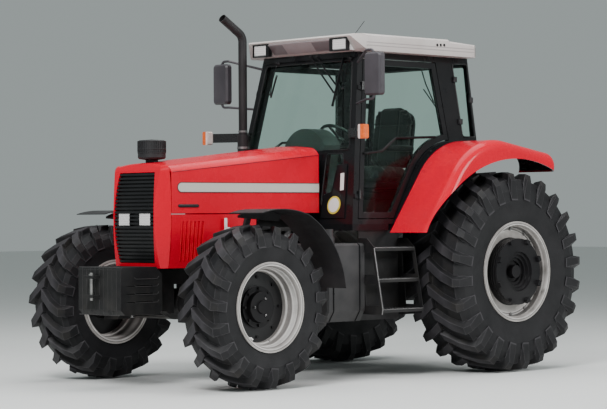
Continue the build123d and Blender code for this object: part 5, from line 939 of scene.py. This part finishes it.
# Lighter rods on the joints between weight slabs: painted highlight lines.
rods("weight_joint_highlights",
     [(at_side(1, (x, BALLAST_FRONT - 0.0015, 0.600), (x, BALLAST_FRONT - 0.0015, 0.976)), 0.0016)
      for x in (-0.218, -0.163, -0.109, -0.054, 0.0, 0.054, 0.109, 0.163, 0.218)],
     tank_black, "chassis", sides=6)

# ---------------------------------------------------------------- engine side
CANISTER = [(0, 0.030), (0.004, 0.046), (0.018, 0.052), (0.150, 0.052), (0.158, 0.047), (0.170, 0.047),
            (0.178, 0.040), (0.200, 0.040)]
turned("fuel_filters", [(CANISTER, (side * 0.300, back(station), 1.060), UP)
                        for side in (-1, 1) for station in (0.86, 0.99)], tank_black, "chassis", 32)
boxes("filter_heads", [((side * 0.275, back(0.925), 1.272), (0.130, 0.270, 0.034), 0.006)
                       for side in (-1, 1)], chassis_black, "chassis")
# Each pipe: its line on one side, as x, station and z, and its radius.
PIPES = ((((0.232, 0.40, 1.245), (0.262, 0.46, 1.262), (0.262, 0.80, 1.262), (0.262, 0.84, 1.270)), 0.008),
         (((0.262, 1.04, 1.270), (0.262, 1.10, 1.270), (0.262, 1.16, 1.200), (0.240, 1.30, 1.060)), 0.008),
         (((0.225, 0.30, 0.900), (0.262, 0.36, 0.900), (0.262, 1.10, 0.880), (0.262, 1.30, 0.820)), 0.010))
rods("fuel_pipes", [(at_side(side, *line), radius) for side in (-1, 1) for line, radius in PIPES],
     drawn_steel, "chassis", 0.05, sides=8)

# ---------------------------------------------------------------- rear hydraulics
boxes("coupling_block", [((0, back(3.118), 1.065), (0.330, 0.030, 0.110), 0.006)], chassis_black, "chassis")
COUPLING = [(0, 0.021), (0.028, 0.021), (0.030, 0.026), (0.052, 0.026), (0.054, 0.019), (0.060, 0.019)]
turned("couplings", [(COUPLING, (x, back(3.130), z), (0, 1, 0))
                     for x in (-0.135, -0.085, 0.085, 0.135) for z in (1.042, 1.092)],
       plug_silver, "chassis", 24)

# ---------------------------------------------------------------- wheels
rim_bolts = ring_group("rim_bolts", steel_and_highlight_grey, True)
FACING_OUT = (0.0, math.radians(90), 0.0)
PLUG_RING = 0.080


def on_front_wheel(side, x, forward, up):
    """Place on a front wheel, from its axle."""
    return (side * x, FRONT_AXLE_Y - forward, FRONT_AXLE_Z + up)


for side, hand in SIDES:
    body = "front_wheel_" + hand
    repeated("front_disc_bolts_" + hand, rim_bolts,
             [dict(Centre=on_front_wheel(side, 1.004, 0, 0), Lie=FACING_OUT, Count=8, Ring_Radius=0.240,
                   Head_Radius=0.013)], disc_black, body)
    repeated("rear_disc_bolts_" + hand, rim_bolts,
             [dict(Centre=(side * 1.209, REAR_AXLE_Y, REAR_AXLE_Z), Lie=FACING_OUT, Count=12,
                   Ring_Radius=0.375, Head_Radius=0.014)], steel_and_highlight_grey, "rear_wheel_" + hand)
    turned("front_hub_plugs_" + hand,
           [([(0, 0.0112), (0.004, 0.0112), (0.006, 0.008), (0.0062, 0.0)],
             on_front_wheel(side, 1.0655, -PLUG_RING * math.cos(turn), PLUG_RING * math.sin(turn)),
             (side, 0, 0)) for turn in map(math.radians, (60, 180, 300))], steel_and_highlight_grey, body, 20)
    boxes("balance_weight_" + hand,
          [(on_front_wheel(side, 1.158, 0.2093, -0.2408), (0.036, 0.026, 0.014), 0.003,
            Matrix.Rotation(math.radians(-41), 3, "X"))], plate_white, body)
    rods("tyre_valves_" + hand, [([on_front_wheel(side, 1.010, -0.10, -0.275),
                                   on_front_wheel(side, 1.045, -0.10, -0.272)], 0.006)], drawn_steel, body)

# ---------------------------------------------------------------- cab inside
# Each lever: x, station, and the heights of its foot and its tip.
LEVERS = ((-0.440, 2.250, 1.865, 1.985), (-0.440, 2.330, 1.865, 1.975), (-0.440, 2.410, 1.865, 1.965),
          (-0.300, 2.050, CAB_LOW_Z, 1.800))
rods("levers", [([(x, back(station), foot), (x + 0.012, back(station - 0.03), tip)], 0.007)
                for x, station, foot, tip in LEVERS], drawn_steel, "chassis")
turned("lever_knobs", [([(0, 0.010), (0.006, 0.017), (0.030, 0.019), (0.042, 0.012), (0.045, 0.0)],
                        (x + 0.012, back(station - 0.03), tip - 0.005), (0.1, -0.3, 1))
                       for x, station, foot, tip in LEVERS], seal_rubber, "chassis", 20)
boxes("side_console", [((-0.470, back(2.430), 1.575), (0.240, 0.720, 0.520), 0.040),
                       ((-0.440, back(2.300), 1.850), (0.120, 0.400, 0.050), 0.020)], dash_green, "chassis")
boxes("seat_mount", [((0, back(2.380), 1.420), (0.300, 0.320, 0.210), 0.030),
                     ((0, back(2.380), 1.560), (0.330, 0.360, 0.060), 0.020),
                     ((0, back(2.390), 1.655), (0.440, 0.440, 0.060), 0.020)], black_plastic, "chassis")
repeated("seat_bellows", ring_group("bellows_ribs", seal_rubber, False),
         [dict(Centre=(0, back(2.380), z), Count=4, Ring_Radius=0.135, Block_Size=(0.07, 0.27, 0.012))
          for z in (1.525, 1.590, 1.612)], seal_rubber, "chassis")
boxes("arm_rests", [((side * 0.285, back(2.410), 1.985), (0.060, 0.330, 0.055), 0.022) for side in (-1, 1)],
      seal_rubber, "chassis")
rods("arm_rest_posts", [(at_side(side, (0.285, 2.560, 1.700), (0.285, 2.560, 1.975)), 0.016)
                        for side in (-1, 1)], cab_black, "chassis")


def rounded_outline(half_wide, low, high, foot, head, steps=6):
    """Front outline of a pad, with its lower and upper corners rounded."""
    outline = []
    for side, radius, z, start in ((1, foot, low + foot, -90), (1, head, high - head, 0),
                                   (-1, head, high - head, 90), (-1, foot, low + foot, 180)):
        for step in range(steps + 1):
            turn = math.radians(start + 90 * step / steps)
            outline.append((side * (half_wide - radius) + radius * math.cos(turn),
                            z + radius * math.sin(turn)))
    return outline


def settle(pad):
    """Turns a piece's modifiers into its mesh."""
    graph = bpy.context.evaluated_depsgraph_get()
    made = bpy.data.meshes.new_from_object(pad.evaluated_get(graph))
    pad.modifiers.clear()
    old = pad.data
    pad.data = made
    bpy.data.meshes.remove(old)


# Sewn channels: depth of one, depth where two cross, and half width.
CHANNEL_DEPTH, CHANNEL_DEEPEST, CHANNEL_HALF = 0.010, 0.012, 0.007
# Foam: how far it may swell, how round its edges are, and how long the pressure acts.
MOST_SWELL, PAD_EDGE, CLOTH_FRAMES = 0.024, 0.030, 20


def stuffed(name, outline, thick, seat_place, channels):
    """Foam pad: a rounded form swelled under pressure, then sewn channels pressed in."""
    builder = bmesh.new()
    add_slab(builder, [(x, -thick / 2, z) for x, z in outline], Vector((0, thick, 0)), PAD_EDGE)
    ease_rim(builder, [edge for edge in builder.edges
                       if all(abs(vert.co.y + thick / 2) < 0.0001 for vert in edge.verts)], PAD_EDGE)
    mesh = mesh_from(builder, name)
    mesh.transform(seat_place)
    pad = bpy.data.objects.new(name, mesh)
    bpy.context.collection.objects.link(pad)
    form = pad.modifiers.new("form", "REMESH")
    form.mode = "VOXEL"
    form.voxel_size = 0.006
    settle(pad)
    start = [vert.co.copy() for vert in pad.data.vertices]
    cloth = pad.modifiers.new("cloth", "CLOTH")
    cloth.settings.use_pressure = True
    cloth.settings.uniform_pressure_force = 4.0
    cloth.settings.effector_weights.gravity = 0.0
    cloth.point_cache.frame_start = 1
    cloth.point_cache.frame_end = CLOTH_FRAMES
    for frame_number in range(1, CLOTH_FRAMES + 1):
        bpy.context.scene.frame_set(frame_number)
    settle(pad)
    bpy.context.scene.frame_set(1)
    inverse = seat_place.inverted()
    normals = [vert.normal.copy() for vert in pad.data.vertices]
    for vert, first, normal in zip(pad.data.vertices, start, normals):
        moved = vert.co - first
        if moved.length > MOST_SWELL:
            vert.co = first + moved.normalized() * MOST_SWELL
        local = inverse @ vert.co
        depth = sum(CHANNEL_DEPTH * math.exp(-((local[axis] - place) / CHANNEL_HALF) ** 2)
                    for axis, place in channels)
        vert.co -= normal * min(depth, CHANNEL_DEEPEST)
    smooth = pad.modifiers.new("smooth", "SUBSURF")
    smooth.levels = smooth.render_levels = 1
    settle(pad)
    pad.data.materials.clear()
    pad.data.materials.append(seat_cloth)
    pad.data.shade_smooth()
    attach(pad, "chassis")
    return pad


BACK_TILT, CUSHION_TILT = math.radians(-8), math.radians(88)


def seat_at(station, z, tilt):
    """Place of a seat part on the tractor's middle, tilted."""
    return Matrix.Translation((0, back(station), z)) @ Matrix.Rotation(tilt, 4, "X")


shell_outline = [seat_at(2.660, 2.085, BACK_TILT) @ Vector((x, 0, z))
                 for x, z in rounded_outline(0.205, -0.270, 0.245, 0.060, 0.110)]
shell_push = Matrix.Rotation(BACK_TILT, 3, "X") @ Vector((0, 0.028, 0))
slabs("seat_shell", [(shell_outline, shell_push)], black_plastic, "chassis", 0.008)
stuffed("seat_back", rounded_outline(0.215, -0.265, 0.255, 0.060, 0.110), 0.075,
        seat_at(2.612, 2.105, BACK_TILT), ((0, -0.12), (0, 0.12), (2, 0.10)))
seat_cushion = stuffed("seat_cushion", rounded_outline(0.225, -0.225, 0.195, 0.060, 0.060), 0.085,
                       seat_at(2.372, 1.760, CUSHION_TILT), ((0, -0.13), (0, 0.13)))
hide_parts("seat")

# ---------------------------------------------------------------- stage
FLOOR_HALF = 60.0
floor_mesh = bpy.data.meshes.new("floor")
floor_mesh.from_pydata([(-FLOOR_HALF, -FLOOR_HALF, 0), (FLOOR_HALF, -FLOOR_HALF, 0),
                        (FLOOR_HALF, FLOOR_HALF, 0), (-FLOOR_HALF, FLOOR_HALF, 0)], [], [(0, 1, 2, 3)])
floor = bpy.data.objects.new("floor", floor_mesh)
bpy.context.collection.objects.link(floor)
floor_finish = Finish("floor_finish")
floor_finish.fill(Base_Color=(0.72, 0.73, 0.72), Roughness=0.7)
floor_mesh.materials.append(floor_finish.material)

world = bpy.data.worlds.new("studio")
bpy.context.scene.world = world
world.use_nodes = True
world.node_tree.nodes["Background"].inputs[0].default_value = (0.80, 0.90, 0.89, 1)
world.node_tree.nodes["Background"].inputs[1].default_value = 0.40


def area_lamp(name, place, target, size, power):
    """Soft rectangular lamp that looks at a place."""
    lamp = bpy.data.lights.new(name, "AREA")
    lamp.shape = "RECTANGLE"
    lamp.size, lamp.size_y = size
    lamp.energy = power
    holder = bpy.data.objects.new(name, lamp)
    bpy.context.collection.objects.link(holder)
    holder.location = place
    holder.rotation_euler = (Vector(target) - Vector(place)).to_track_quat("-Z", "Y").to_euler()


area_lamp("key_lamp", (5.0, -9.0, 9.0), (0, -0.5, 1.2), (4, 4), 1500)
area_lamp("side_lamp", (10.0, 4.0, 5.5), (0, 0.5, 1.2), (5, 3), 650)
area_lamp("top_lamp", (0.0, 1.0, 9.0), (0, 0, 1.0), (8, 8), 700)

CAMERA_PLACE = (13.7256, -13.2280, 1.3782)
CAMERA_TURNS = (46.2362, -0.3193, -0.3681)
camera_data = bpy.data.cameras.new("camera")
camera = bpy.data.objects.new("camera", camera_data)
bpy.context.collection.objects.link(camera)
camera_data.sensor_width = 36.0
camera_data.lens = 128.18
camera_data.clip_end = 200.0
yaw, pitch, roll = map(math.radians, CAMERA_TURNS)
backwards = Vector((math.sin(yaw) * math.cos(pitch), -math.cos(yaw) * math.cos(pitch), math.sin(pitch)))
across = UP.cross(backwards).normalized()
above = backwards.cross(across)
right = across * math.cos(roll) + above * math.sin(roll)
top = above * math.cos(roll) - across * math.sin(roll)
turned_axes = Matrix((right, top, backwards)).transposed().to_4x4()
camera.matrix_world = Matrix.Translation(CAMERA_PLACE) @ turned_axes
bpy.context.scene.camera = camera
